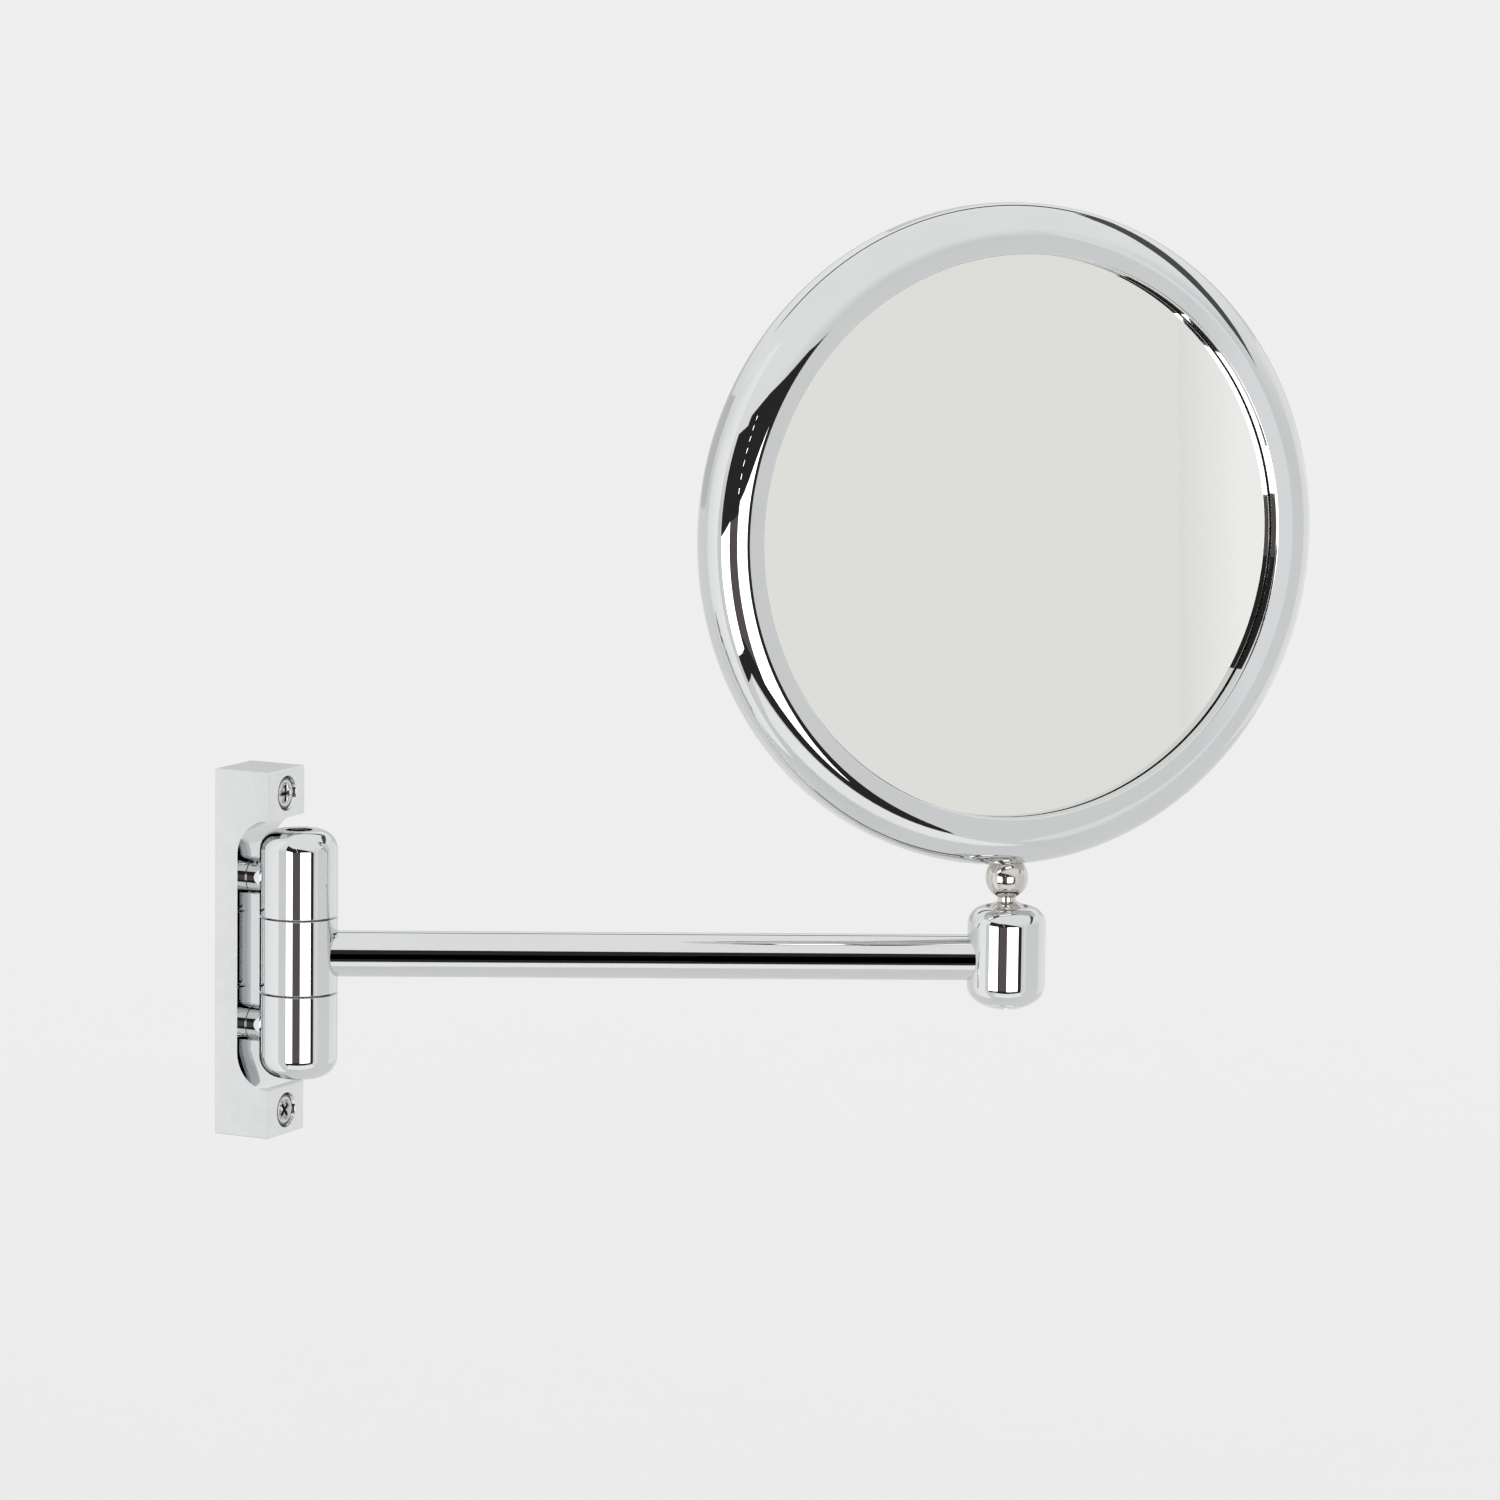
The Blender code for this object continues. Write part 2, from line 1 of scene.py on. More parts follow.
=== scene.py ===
"""Looks for the extendable shaving mirror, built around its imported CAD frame.

Laid out as an add-on and run as a script. Sizes in the code are millimetres unless a name says
otherwise; the meshes are made in metres, each in its own local frame, and ride on the CAD bodies.
"""

import json
import math

import bmesh
import bpy
from bpy.props import FloatProperty, FloatVectorProperty, IntProperty, PointerProperty
from bpy.types import Operator, Panel, PropertyGroup
from mathutils import Matrix, Vector


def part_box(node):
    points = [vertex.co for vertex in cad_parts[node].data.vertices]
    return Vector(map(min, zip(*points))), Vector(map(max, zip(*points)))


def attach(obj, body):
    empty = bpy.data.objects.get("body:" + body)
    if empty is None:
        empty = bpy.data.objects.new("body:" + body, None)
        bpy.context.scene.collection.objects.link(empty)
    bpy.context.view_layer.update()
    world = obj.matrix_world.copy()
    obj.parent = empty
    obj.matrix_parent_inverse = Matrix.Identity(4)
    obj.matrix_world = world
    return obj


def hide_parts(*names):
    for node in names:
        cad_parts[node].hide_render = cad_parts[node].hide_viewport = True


bl_info = {
    "name": "Shaving Mirror",
    "version": (1, 0, 0),
    "blender": (4, 5, 0),
    "location": "View3D > Sidebar > Shaving Mirror",
    "description": "Builds the visible pieces, finishes and studio of a wall shaving mirror",
    "category": "Object",
}

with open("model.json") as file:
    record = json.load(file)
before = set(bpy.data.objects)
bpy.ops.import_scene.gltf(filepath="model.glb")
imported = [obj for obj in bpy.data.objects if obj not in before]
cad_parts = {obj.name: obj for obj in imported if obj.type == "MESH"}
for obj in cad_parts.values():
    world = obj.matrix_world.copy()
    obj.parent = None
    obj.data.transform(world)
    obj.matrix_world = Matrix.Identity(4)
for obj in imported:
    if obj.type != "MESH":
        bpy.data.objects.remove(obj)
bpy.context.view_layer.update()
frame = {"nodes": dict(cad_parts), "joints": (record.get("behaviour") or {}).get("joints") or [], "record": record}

MM = 0.001
LARGE = 10.0                   # a piece reaching further from its axis keeps its place in its mesh
TINY = 1e-4                    # a shorter length or a smaller angle counts as none
SAME = 1e-5                    # section points closer than this are one point
PAST = 1.0                     # how far a cutter reaches past the face that it cuts
WASHER, WASHER_DEEP = 9.3, 0.7      # radius and depth of the washers' seats in the barrel
SEAM_EDGE = 0.22               # rounding beside each seam of the barrel
GLASS = 88.0                   # radius of both glasses
UP = Vector((0.0, 0.0, 1.0))
JOINTS = {joint["name"]: joint for joint in frame["joints"]}
OUTWARD = Matrix.Rotation(math.radians(90), 4, "X")    # local +Z points out into the room


def middle(node):
    """Middle of a CAD node's box, in metres."""
    low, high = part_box(node)
    return (low + high) / 2


def extent(node):
    """Size of a CAD node's box, in millimetres."""
    low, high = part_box(node)
    return (high - low) / MM


def axes(x, y, z, origin):
    """A placement from three unit axes and an origin in metres."""
    turn = Matrix((x, y, z)).transposed().to_4x4()
    return Matrix.Translation(origin) @ turn


BARREL_AT = Vector(JOINTS["arm_swing"]["pos_m"])
BALL_AT = Vector(JOINTS["mirror_swivel"]["pos_m"])
ARM_ALONG = Vector((BALL_AT.x - BARREL_AT.x, BALL_AT.y - BARREL_AT.y, 0.0))
ARM_LENGTH = ARM_ALONG.length / MM
ARM_ALONG.normalize()
ARM_ACROSS = ARM_ALONG.cross(UP) * -1.0
BARREL = Matrix.Translation(BARREL_AT)
ARM = axes(ARM_ACROSS, UP, ARM_ALONG, BARREL_AT)       # local +Z runs out along the arm
KNUCKLE = Matrix.Translation((BALL_AT.x, BALL_AT.y, BARREL_AT.z))
HEAD_X = Vector(JOINTS["mirror_tilt"]["axis"]).normalized()
HEAD_FRONT = Vector(JOINTS["mirror_lean"]["axis"]).normalized()
HEAD_UP = HEAD_FRONT.cross(HEAD_X).normalized()
STEM = axes(HEAD_X, -HEAD_FRONT, HEAD_UP, BALL_AT)     # local +Z runs up the stem
RING_AT = middle("mirror_ring")
RING = axes(HEAD_X, HEAD_UP, HEAD_FRONT, RING_AT)      # local +Z faces the front


# ---- settings

def length(name, description, default):
    """A size in metres."""
    return FloatProperty(name=name, description=description, default=default, unit="LENGTH")


class BracketSizes(PropertyGroup):
    """Sizes of the wall bracket and its screws."""
    width: length("Width", "Width of the bracket", extent("wall_bracket").x * MM)
    depth: length("Depth", "How far the end blocks stand out", extent("wall_bracket").y * MM)
    height: length("Height", "Height of the bracket", extent("wall_bracket").z * MM)
    web: length("Web", "Thickness behind the recess", 0.008)
    recess: length("Recess", "Half the height of the recess", 0.0412)
    recess_corner: length("Recess corner", "Radius of the recess's two inner corners", 0.0109)
    edge: length("Edge", "Size of the broken edges", 0.0003)
    screw_head: length("Screw head", "Radius of a wall screw's head", 0.0047)
    lower_screw_turn: FloatProperty(name="Lower screw turn", unit="ROTATION",
                                    description="How far the lower screw's cross is turned",
                                    default=math.radians(38))


class BarrelSizes(PropertyGroup):
    """Sizes of the barrel that carries the arm."""
    radius: length("Radius", "Outside radius of the barrel",
                   extent("barrel_bottom_cap").x * MM / 2)
    top: length("Top", "Height of the barrel's top above the arm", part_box("barrel_top_cap")[1].z)
    corner: length("Corner", "Radius of the barrel's rounded top", 0.0062)
    lower_corner: length("Lower corner", "Radius of the barrel's rounded foot", 0.0067)
    seam: length("Seam", "Height of the middle of the upper seam", 0.0116)
    seam_gap: length("Seam gap", "Width of each seam", 0.0005)
    post: length("Post", "Radius of the two posts", 0.0057)


class ArmSizes(PropertyGroup):
    """Sizes of the arm's tube, the knuckle and the ball stem."""
    tube: length("Tube", "Outside radius of the arm's tube", 0.007)
    knuckle: length("Knuckle", "Outside radius of the knuckle", 0.0119)
    knuckle_top: length("Knuckle top", "Height of the knuckle above the arm's axis", 0.0159)
    knuckle_corner: length("Knuckle corner", "Radius of the knuckle's rounded top", 0.0056)
    knuckle_dome: length("Knuckle dome", "Radius of the shallow dome underneath", 0.017)
    knob: length("Knob", "Radius of the ball that shows", 0.0065)
    knob_up: length("Knob height", "Height of the knob's centre above the held ball", 0.0139)
    neck: length("Neck", "Radius of the stem's neck", 0.0028)


class HeadSizes(PropertyGroup):
    """Sizes of the mirror head."""
    radius: length("Radius", "Outside radius of the ring", 0.1)
    half: length("Half thickness", "Half the ring's thickness", 0.012)
    rounding: length("Rounding", "Radius of the rounded outside", 0.0104)
    lip: length("Lip", "Radius of the opening", 0.0848)
    glass_down: length("Glass depth", "Depth of the glass's face", 0.0046)
    sag: length("Dish", "Depth of the magnifying glass's dish", 0.003)
    sides: IntProperty(name="Sides", description="Sides of the ring's turned meshes",
                       default=192, min=48, max=512)


class FinishColours(PropertyGroup):
    """Colours of the finishes."""
    chrome: FloatVectorProperty(name="Chrome", description="Tint of the polished chrome",
                                subtype="COLOR", default=(0.67, 0.68, 0.685))
    nickel: FloatVectorProperty(name="Nickel", description="Tint of the turned ball stem",
                                subtype="COLOR", default=(0.62, 0.60, 0.565))
    zinc: FloatVectorProperty(name="Zinc", description="Tint of the plated screws",
                              subtype="COLOR", default=(0.58, 0.59, 0.58))
    silvering: FloatVectorProperty(name="Silvering", description="Tint of the mirror glass",
                                   subtype="COLOR", default=(0.838, 0.848, 0.815))


class StudioSettings(PropertyGroup):
    """Camera, light and floor."""
    lens: FloatProperty(name="Lens", description="Focal length in millimetres", default=168.8)
    azimuth: FloatProperty(name="Azimuth", description="Camera's turn about the object",
                           unit="ROTATION", default=math.radians(-62.88))
    elevation: FloatProperty(name="Elevation", description="Camera's height angle",
                             unit="ROTATION", default=math.radians(7.895))
    roll: FloatProperty(name="Roll", description="Camera's roll", unit="ROTATION",
                        default=math.radians(0.69))
    distance: length("Distance", "Camera to its aim point", 2.13885)
    aim: FloatVectorProperty(name="Aim", description="Point that the camera looks at",
                             subtype="XYZ", unit="LENGTH", default=(0.0789, -0.1355, 0.0611))
    surroundings: FloatProperty(name="Surroundings", description="Brightness overhead",
                                default=1.04)
    backdrop: FloatProperty(name="Backdrop", description="Brightness near the horizon",
                            default=0.835)
    floor_tone: FloatProperty(name="Floor tone", description="How pale the floor is",
                              default=0.84)
    floor_down: length("Floor", "Depth of the floor below the arm", 1.5)
    soft_light: FloatProperty(name="Soft light", description="Radiance of the soft boxes",
                              default=3.0)


# ---- sections and meshes

def rounded(corners, closed=True, step=math.radians(7.5)):
    """Stretches of a section through corners (radius, height, rounding).

    The metal lies to the left of the path. Each stretch is (start, start normal, end, end normal).
    """
    count = len(corners)
    stretches = []
    last = None
    for i in range(count + (1 if closed else 0)):
        r, z, bend = corners[i % count]
        start = end = here = Vector((r, z))
        arcs = []
        if closed or i not in (0, count - 1):
            into = (here - Vector(corners[i - 1][:2])).normalized()
            out = (Vector(corners[(i + 1) % count][:2]) - here).normalized()
            turn = math.atan2(into.x * out.y - into.y * out.x, into.dot(out))
            if bend > 0 and abs(turn) > TINY:
                back = bend * math.tan(abs(turn) / 2)
                start, end = here - into * back, here + out * back
                side = math.copysign(1.0, turn)
                centre = start + Vector((-into.y, into.x)) * bend * side
                steps = max(2, math.ceil(abs(turn) / step))
                base = math.atan2(-into.x, into.y)
                for n in range(steps + 1):
                    a = base + turn * n / steps
                    normal = Vector((math.cos(a), math.sin(a)))
                    arcs.append((centre + normal * bend * side, normal))
        if last is not None:
            line = (start - last).normalized()
            flat = Vector((line.y, -line.x))
            if (start - last).length > TINY:
                stretches.append((last, flat, start, flat))
        if closed and i == count:
            break
        stretches += [(*a, *b) for a, b in zip(arcs, arcs[1:])]
        last = end
    return stretches


def turned(name, stretches, sides=96, shape=None):
    """Turn a section about Z into a mesh in metres, with exact normals on every face corner.

    shape, if given, takes and returns a point's x, y, z in millimetres.
    """
    angles = [2 * math.pi * k / sides for k in range(sides)]
    spin = [(math.cos(a), math.sin(a)) for a in angles]
    points, faces, corner_normals = [], [], []

    def row(at):
        """Add the circle of a section point, or one point on the axis, and give the indices."""
        start = len(points)
        for c, s in spin[:1] if at.x < SAME else spin:
            p = (at.x * c, at.x * s, at.y)
            points.append(shape(*p) if shape else p)
        return range(start, len(points))

    rows = []
    for one, _n1, two, _n2 in stretches:
        joined = rows and (rows[-1][0] - one).length < SAME
        low = rows[-1][2] if joined else row(one)
        closing = rows and (stretches[0][0] - two).length < SAME
        rows.append((two, low, rows[0][1] if closing else row(two)))
    for (_one, n1, _two, n2), (_at, low, high) in zip(stretches, rows):
        for k in range(sides):
            j = (k + 1) % sides
            near = [(n1.x * c, n1.x * s, n1.y) for c, s in (spin[k], spin[j])]
            far = [(n2.x * c, n2.x * s, n2.y) for c, s in (spin[k], spin[j])]
            a, b = low[k % len(low)], low[j % len(low)]
            c, d = high[j % len(high)], high[k % len(high)]
            if a == b:
                faces.append((a, c, d))
                corner_normals += [near[0], far[1], far[0]]
            elif c == d:
                faces.append((a, b, c))
                corner_normals += [near[0], near[1], far[0]]
            else:
                faces.append((a, b, c, d))
                corner_normals += [near[0], near[1], far[1], far[0]]
    mesh = bpy.data.meshes.new(name)
    mesh.from_pydata([[v * MM for v in p] for p in points], [], faces)
    mesh.shade_smooth()
    mesh.normals_split_custom_set(corner_normals)
    return mesh


def from_bmesh(name, bm):
    """A mesh in metres from a bmesh in millimetres."""
    bm.transform(Matrix.Scale(MM, 4))
    bmesh.ops.recalc_face_normals(bm, faces=bm.faces)
    mesh = bpy.data.meshes.new(name)
    bm.to_mesh(mesh)
    bm.free()
    return mesh


def box(x0, x1, y0, y1, z0, z1, taper=1.0):
    """A block between limits; taper narrows its low end."""
    bm = bmesh.new()
    bmesh.ops.create_cube(bm, size=1.0)
    for v in bm.verts:
        k = taper if v.co.z < 0 else 1.0
        v.co.x = (x0 + x1) / 2 + v.co.x * (x1 - x0) * k
        v.co.y = (y0 + y1) / 2 + v.co.y * (y1 - y0) * k
        v.co.z = (z0 + z1) / 2 + v.co.z * (z1 - z0)
    return bm


def prism(outline, x0, x1):
    """A bar along X whose section is a list of (y, z) points."""
    bm = bmesh.new()
    near = [bm.verts.new((x0, y, z)) for y, z in outline]
    far = [bm.verts.new((x1, y, z)) for y, z in outline]
    bm.faces.new(near)
    bm.faces.new(reversed(far))
    for i in range(len(outline)):
        j = (i + 1) % len(outline)
        bm.faces.new((near[i], far[i], far[j], near[j]))
    return bm


def crossed(long, wide, low, high, taper=1.0):
    """Cutters for two slots across each other, from half their length and half their width."""
    return [(from_bmesh("slot", box(-x, x, -y, y, low, high, taper)), Matrix.Identity(4))
            for x, y in ((long, wide), (wide, long))]


def carved(obj, cutters, bevel=0.0):
    """Bevel obj's weighted edges, take the cutters out of it, and keep the result as its mesh.

    A bevelled mesh is left to the caller's own shading; any other gets evened normals.
    """
    if bevel:
        mod = obj.modifiers.new("edges", "BEVEL")
        mod.width, mod.segments, mod.use_clamp_overlap = bevel, 1, False
        mod.limit_method = "WEIGHT"
    tools = []
    for mesh, place in cutters:
        tool = bpy.data.objects.new("cutter", mesh)
        bpy.context.scene.collection.objects.link(tool)
        tool.matrix_world = obj.matrix_world @ place
        mod = obj.modifiers.new("cut", "BOOLEAN")
        mod.operation, mod.solver, mod.object = "DIFFERENCE", "EXACT", tool
        tools.append(tool)
    bpy.context.view_layer.update()
    graph = bpy.context.evaluated_depsgraph_get()
    mesh = bpy.data.meshes.new_from_object(obj.evaluated_get(graph))
    obj.modifiers.clear()
    obj.data = mesh
    for tool in tools:
        bpy.data.objects.remove(tool)
    mesh.shade_smooth()
    mesh.set_sharp_from_angle(angle=math.radians(32))
    if not bevel:
        mod = obj.modifiers.new("flats", "WEIGHTED_NORMAL")
        mod.keep_sharp, mod.weight = True, 100


def turned_by(angle):
    """A turn about the local Z axis."""
    return Matrix.Rotation(angle, 4, "Z")


def on_wall(node):
    """A placement on the wall's plane at a node's height, facing the room."""
    return Matrix.Translation((0, 0, middle(node).z)) @ OUTWARD


def piece(name, mesh, place, body, slot, *nodes, look=None):
    """Make a visible piece: its mesh, its place, its finish, and the CAD nodes it stands for.

    Large pieces keep their place in the mesh, so that their boxes stay as tight as the CAD's.
    A look, if given, is a finish other than the slot's own.
    """
    obj = bpy.data.objects.new(name, mesh)
    bpy.context.scene.collection.objects.link(obj)
    if max(abs(v.co[i]) for v in mesh.vertices for i in (0, 1)) > LARGE * MM:
        mesh.transform(place)
    else:
        obj.matrix_world = place
    mesh.materials.clear()
    mesh.materials.append(finish(look or slot))
    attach(obj, body)
    if nodes:
        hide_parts(*nodes)
    return obj


# ---- finishes

PATTERN_LOW, PATTERN_HIGH = 0.3, 0.7    # the stretch of a noise pattern's values that is used


class Finish:
    """A Principled material under construction."""

    def __init__(self, name, colour, roughness, metallic=0.0, **constants):
        self.mat = bpy.data.materials.new(name)
        self.mat.use_nodes = True
        self.tree = self.mat.node_tree
        self.shader = self.tree.nodes["Principled BSDF"]
        self.shader.inputs["Base Color"].default_value = (*colour, 1.0)
        self.shader.inputs["Roughness"].default_value = roughness
        self.shader.inputs["Metallic"].default_value = metallic
        for socket, value in constants.items():
            self.shader.inputs[socket.replace("_", " ")].default_value = value
        self.mat.diffuse_color = (*colour, 1.0)
        self.coords = self.add("ShaderNodeTexCoord").outputs["Object"]

    def add(self, kind, **settings):
        """A node with the given settings; a setting whose name is a socket sets that socket."""
        node = self.tree.nodes.new(kind)
        for key, value in settings.items():
            if hasattr(node, key):
                setattr(node, key, value)
            else:
                node.inputs[key.replace("_", " ")].default_value = value
        return node

    def link(self, source, target):
        """Join an output to an input."""
        self.tree.links.new(source, target)

    def stretched(self, scale):
        """Object coordinates scaled by a different amount along each axis."""
        node = self.add("ShaderNodeMapping", Scale=scale)
        self.link(self.coords, node.inputs["Vector"])
        return node.outputs["Vector"]

    def noise(self, scale, detail=3.0, rough=0.55, coords=None):
        """A noise pattern with scale features to the metre."""
        node = self.add("ShaderNodeTexNoise", Scale=scale, Detail=detail, Roughness=rough)
        self.link(coords or self.coords, node.inputs["Vector"])
        return node.outputs["Fac"]

    def roughness(self, pattern, low, high):
        """Let a pattern drive the roughness between low and high."""
        node = self.add("ShaderNodeMapRange", From_Min=PATTERN_LOW, From_Max=PATTERN_HIGH,
                        To_Min=low, To_Max=high)
        self.link(pattern, node.inputs["Value"])
        self.link(node.outputs["Result"], self.shader.inputs["Roughness"])
        return self

    def tint(self, pattern, dark, light):
        """Let a pattern mix two colours."""
        ramp = self.add("ShaderNodeValToRGB")
        stops = (PATTERN_LOW, dark), (PATTERN_HIGH, light)
        for stop, (position, colour) in zip(ramp.color_ramp.elements, stops):
            stop.position, stop.color = position, (*colour, 1.0)
        self.link(pattern, ramp.inputs["Fac"])
        self.link(ramp.outputs["Color"], self.shader.inputs["Base Color"])
        return self

    def bump(self, pattern, height_mm, strength=1.0):
        """Raise the surface by a pattern; later bumps add to earlier ones."""
        node = self.add("ShaderNodeBump", Strength=strength, Distance=height_mm * MM)
        self.link(pattern, node.inputs["Height"])
        normal = self.shader.inputs["Normal"]
        if normal.is_linked:
            self.link(normal.links[0].from_socket, node.inputs["Normal"])
        self.link(node.outputs["Normal"], normal)
        return self

    def rings(self, per_metre):
        """Fine turned rings about the local Z axis."""
        node = self.add("ShaderNodeTexWave", wave_type="RINGS", rings_direction="Z",
                        Scale=per_metre, Distortion=0.6, Detail=2.0, Detail_Scale=1.0)
        self.link(self.coords, node.inputs["Vector"])
        return node.outputs["Fac"]


def scaled(colour, factor):
    """A colour made lighter or darker."""
    return tuple(min(1.0, c * factor) for c in colour)


def polished_chrome(colour):
    """Bright plated chrome: faint smears in its polish and the lightest waviness."""
    f = Finish("polished_chrome", colour, 0.03, 1.0)
    f.tint(f.noise(35.0, 2.0), scaled(colour, 0.985), scaled(colour, 1.015))
    f.roughness(f.noise(120.0, 4.0, 0.65), 0.006, 0.03)
    return f.bump(f.noise(45.0, 1.0), 0.002, 0.5).mat


def soft_chrome(colour):
    """The bracket's outer faces: the same plate over a finely linished surface."""
    f = Finish("soft_chrome", colour, 0.2, 1.0)
    f.tint(f.noise(160.0, 4.0, 0.6), scaled(colour, 0.97), scaled(colour, 1.03))
    f.roughness(f.noise(900.0, 3.0, 0.6), 0.16, 0.24)
    return f.bump(f.noise(2600.0, 2.0), 0.003, 0.35).mat


def bright_nickel(colour):
    """The turned stem: warm, softly polished, with faint turning lines."""
    f = Finish("bright_nickel", colour, 0.12, 1.0)
    f.tint(f.noise(300.0, 3.0), scaled(colour, 0.93), scaled(colour, 1.05))
    f.roughness(f.noise(500.0, 3.0, 0.6), 0.08, 0.17)
    lines = f.noise(1.0, 2.0, coords=f.stretched((60.0, 60.0, 5200.0)))
    return f.bump(lines, 0.002, 0.4).mat


def zinc_steel(colour):
    """Plated screws: turned rings on the head and a faint mottle in the plating."""
    f = Finish("zinc_steel", colour, 0.25, 1.0)
    f.tint(f.noise(700.0, 3.0), scaled(colour, 0.9), scaled(colour, 1.06))
    f.roughness(f.noise(1500.0, 3.0), 0.14, 0.3)
    return f.bump(f.rings(900.0), 0.006, 0.5).mat


def zinc_shade(colour):
    """Painted shade in the screws' recesses and round their rims: darkened, rougher zinc."""
    # painted shade: the zinc's own colour darkened to a quarter
    colour = scaled(colour, 0.25)
    f = Finish("zinc_shade", colour, 0.4, 1.0)
    f.tint(f.noise(900.0, 3.0), scaled(colour, 0.7), scaled(colour, 1.3))
    return f.roughness(f.noise(1500.0, 3.0), 0.3, 0.5).mat


def silvered_glass(colour):
    """Mirror glass: clean, with the faintest wiping haze."""
    f = Finish("silvered_glass", colour, 0.0, 1.0)
    f.tint(f.noise(14.0, 2.0), scaled(colour, 0.995), scaled(colour, 1.005))
    return f.roughness(f.noise(40.0, 5.0, 0.6), 0.0, 0.018).mat


def plain_brass():
    """Turned brass of the bushes, spigots and boss."""
    colour = (0.70, 0.52, 0.26)
    f = Finish("plain_brass", colour, 0.3, 1.0)
    f.tint(f.noise(400.0, 4.0), scaled(colour, 0.82), scaled(colour, 1.08))
    f.roughness(f.noise(900.0, 3.0), 0.22, 0.4)
    return f.bump(f.noise(1.0, 2.0, coords=f.stretched((80.0, 80.0, 4200.0))), 0.006, 0.6).mat


def nylon():
    """Moulded nylon of the washers, liner and spacer."""
    f = Finish("nylon", (0.80, 0.78, 0.72), 0.5, 0.0, Subsurface_Weight=0.1)
    f.tint(f.noise(250.0, 3.0), (0.74, 0.72, 0.66), (0.83, 0.81, 0.76))
    f.roughness(f.noise(900.0, 3.0), 0.42, 0.6)
    return f.bump(f.noise(3500.0, 2.0), 0.008, 0.5).mat


def gasket_rubber():
    """Black rubber of the two gaskets."""
    f = Finish("gasket_rubber", (0.03, 0.03, 0.03), 0.75)
    f.tint(f.noise(500.0, 4.0), (0.018, 0.018, 0.019), (0.05, 0.05, 0.05))
    f.roughness(f.noise(1200.0, 3.0), 0.62, 0.85)
    return f.bump(f.noise(4000.0, 3.0), 0.015, 0.6).mat


def fibre_board():
    """Pressed board between the two glasses: flecked fibres."""
    f = Finish("fibre_board", (0.42, 0.37, 0.31), 0.9)
    fibres = f.noise(1.0, 5.0, 0.7, f.stretched((900.0, 160.0, 900.0)))
    f.tint(fibres, (0.28, 0.24, 0.20), (0.52, 0.46, 0.38))
    f.roughness(f.noise(700.0, 3.0), 0.8, 0.95)
    return f.bump(fibres, 0.06, 0.7).mat


MAKERS = {
    "polished_chrome": (polished_chrome, "chrome"), "soft_chrome": (soft_chrome, "chrome"),
    "bright_nickel": (bright_nickel, "nickel"), "zinc_steel": (zinc_steel, "zinc"),
    "zinc_shade": (zinc_shade, "zinc"), "silvered_glass": (silvered_glass, "silvering"),
    "plain_brass": (plain_brass, None), "nylon": (nylon, None),
    "gasket_rubber": (gasket_rubber, None), "fibre_board": (fibre_board, None),
}
FINISHES = {}


def finish(slot):
    """A finish by name, made on first use; most names are the record's slots."""
    if slot not in FINISHES:
        maker, setting = MAKERS[slot]
        colours = bpy.context.scene.mirror_colours
        FINISHES[slot] = maker(tuple(getattr(colours, setting))) if setting else maker()
    return FINISHES[slot]


def turned_piece(name, stretches, place, body, slot, *nodes, sides=96, shape=None):
    """A turned mesh as a visible piece in its slot's finish."""
    return piece(name, turned(name, stretches, sides, shape), place, body, slot, *nodes)


# ---- bracket

class MIRROR_OT_bracket(Operator):
    """Build the C-shaped wall bracket with its countersunk holes."""
    bl_idname = "shaving_mirror.bracket"
    bl_label = "Wall bracket"

    def execute(self, context):
        s = context.scene.mirror_bracket
        half, front, web = s.height / 2 / MM, -s.depth / MM, -s.web / MM
        recess, corner = s.recess / MM, s.recess_corner / MM
        section = rounded([
            (0, half, 0), (0, -half, 0), (front, -half, 0), (front, -recess, 0),
            (web, -recess, corner), (web, recess, corner), (front, recess, 0), (front, half, 0),
        ][::-1], step=math.radians(3))
        outline = [(one.x, one.y) for one, _n, _two, _m in section]
        width = s.width / 2 / MM
        mesh = from_bmesh("bracket", prism(outline, -width, width))
        obj = piece("bracket_body", mesh, Matrix.Identity(4), "bracket", "polished_chrome",
                    "wall_bracket", look="soft_chrome")
        # How square a flat face's normal is, and how far the recess's faces lie off the outside.
        level, beside, off_back, off_front, off_side = 0.995, 0.1, 1.0, 0.6, 0.4
        weights = mesh.attributes.new("bevel_weight_edge", "FLOAT", "EDGE")
        for edge, weight in zip(mesh.edges, weights.data):
            reach = max(abs(mesh.vertices[end].co.z) for end in edge.vertices)
            weight.value = float(reach / MM > recess + beside)
        cutters = []
        bore, thread, depth = 2.6, 2.3, s.depth / MM
        sunk = rounded([(0, -PAST, 0), (bore, -PAST, 0), (bore, depth - 3.6, 0),
                        (5.0, depth - 0.8, 0), (5.3, depth - 0.1, 0.3), (5.7, depth + PAST, 0),
                        (0, depth + PAST, 0)], closed=False)
        for screw in ("wall_screw_top", "wall_screw_bottom"):
            cutters.append((turned("hole", sunk, 64), on_wall(screw)))
        through = rounded([(0, -PAST, 0), (4.5, -PAST, 0), (4.4, 0.6, 0), (thread, 2.9, 0),
                           (thread, PAST - web, 0), (0, PAST - web, 0)], closed=False)
        for post in ("standoff_top", "standoff_bottom"):
            cutters.append((turned("hole", through, 48), on_wall(post)))
        carved(obj, cutters, s.edge)
        obj.data.materials.append(finish("polished_chrome"))
        for face in obj.data.polygons:
            x, y, z = (abs(part) / MM for part in face.center)
            sloping = max(abs(part) for part in face.normal) < level
            inside = (z < recess + beside and off_back < y < -front - off_front
                      and x < width - off_side)
            face.material_index = int(sloping or inside)
            face.use_smooth = sloping and not width - s.edge / MM < x < width
        return {"FINISHED"}


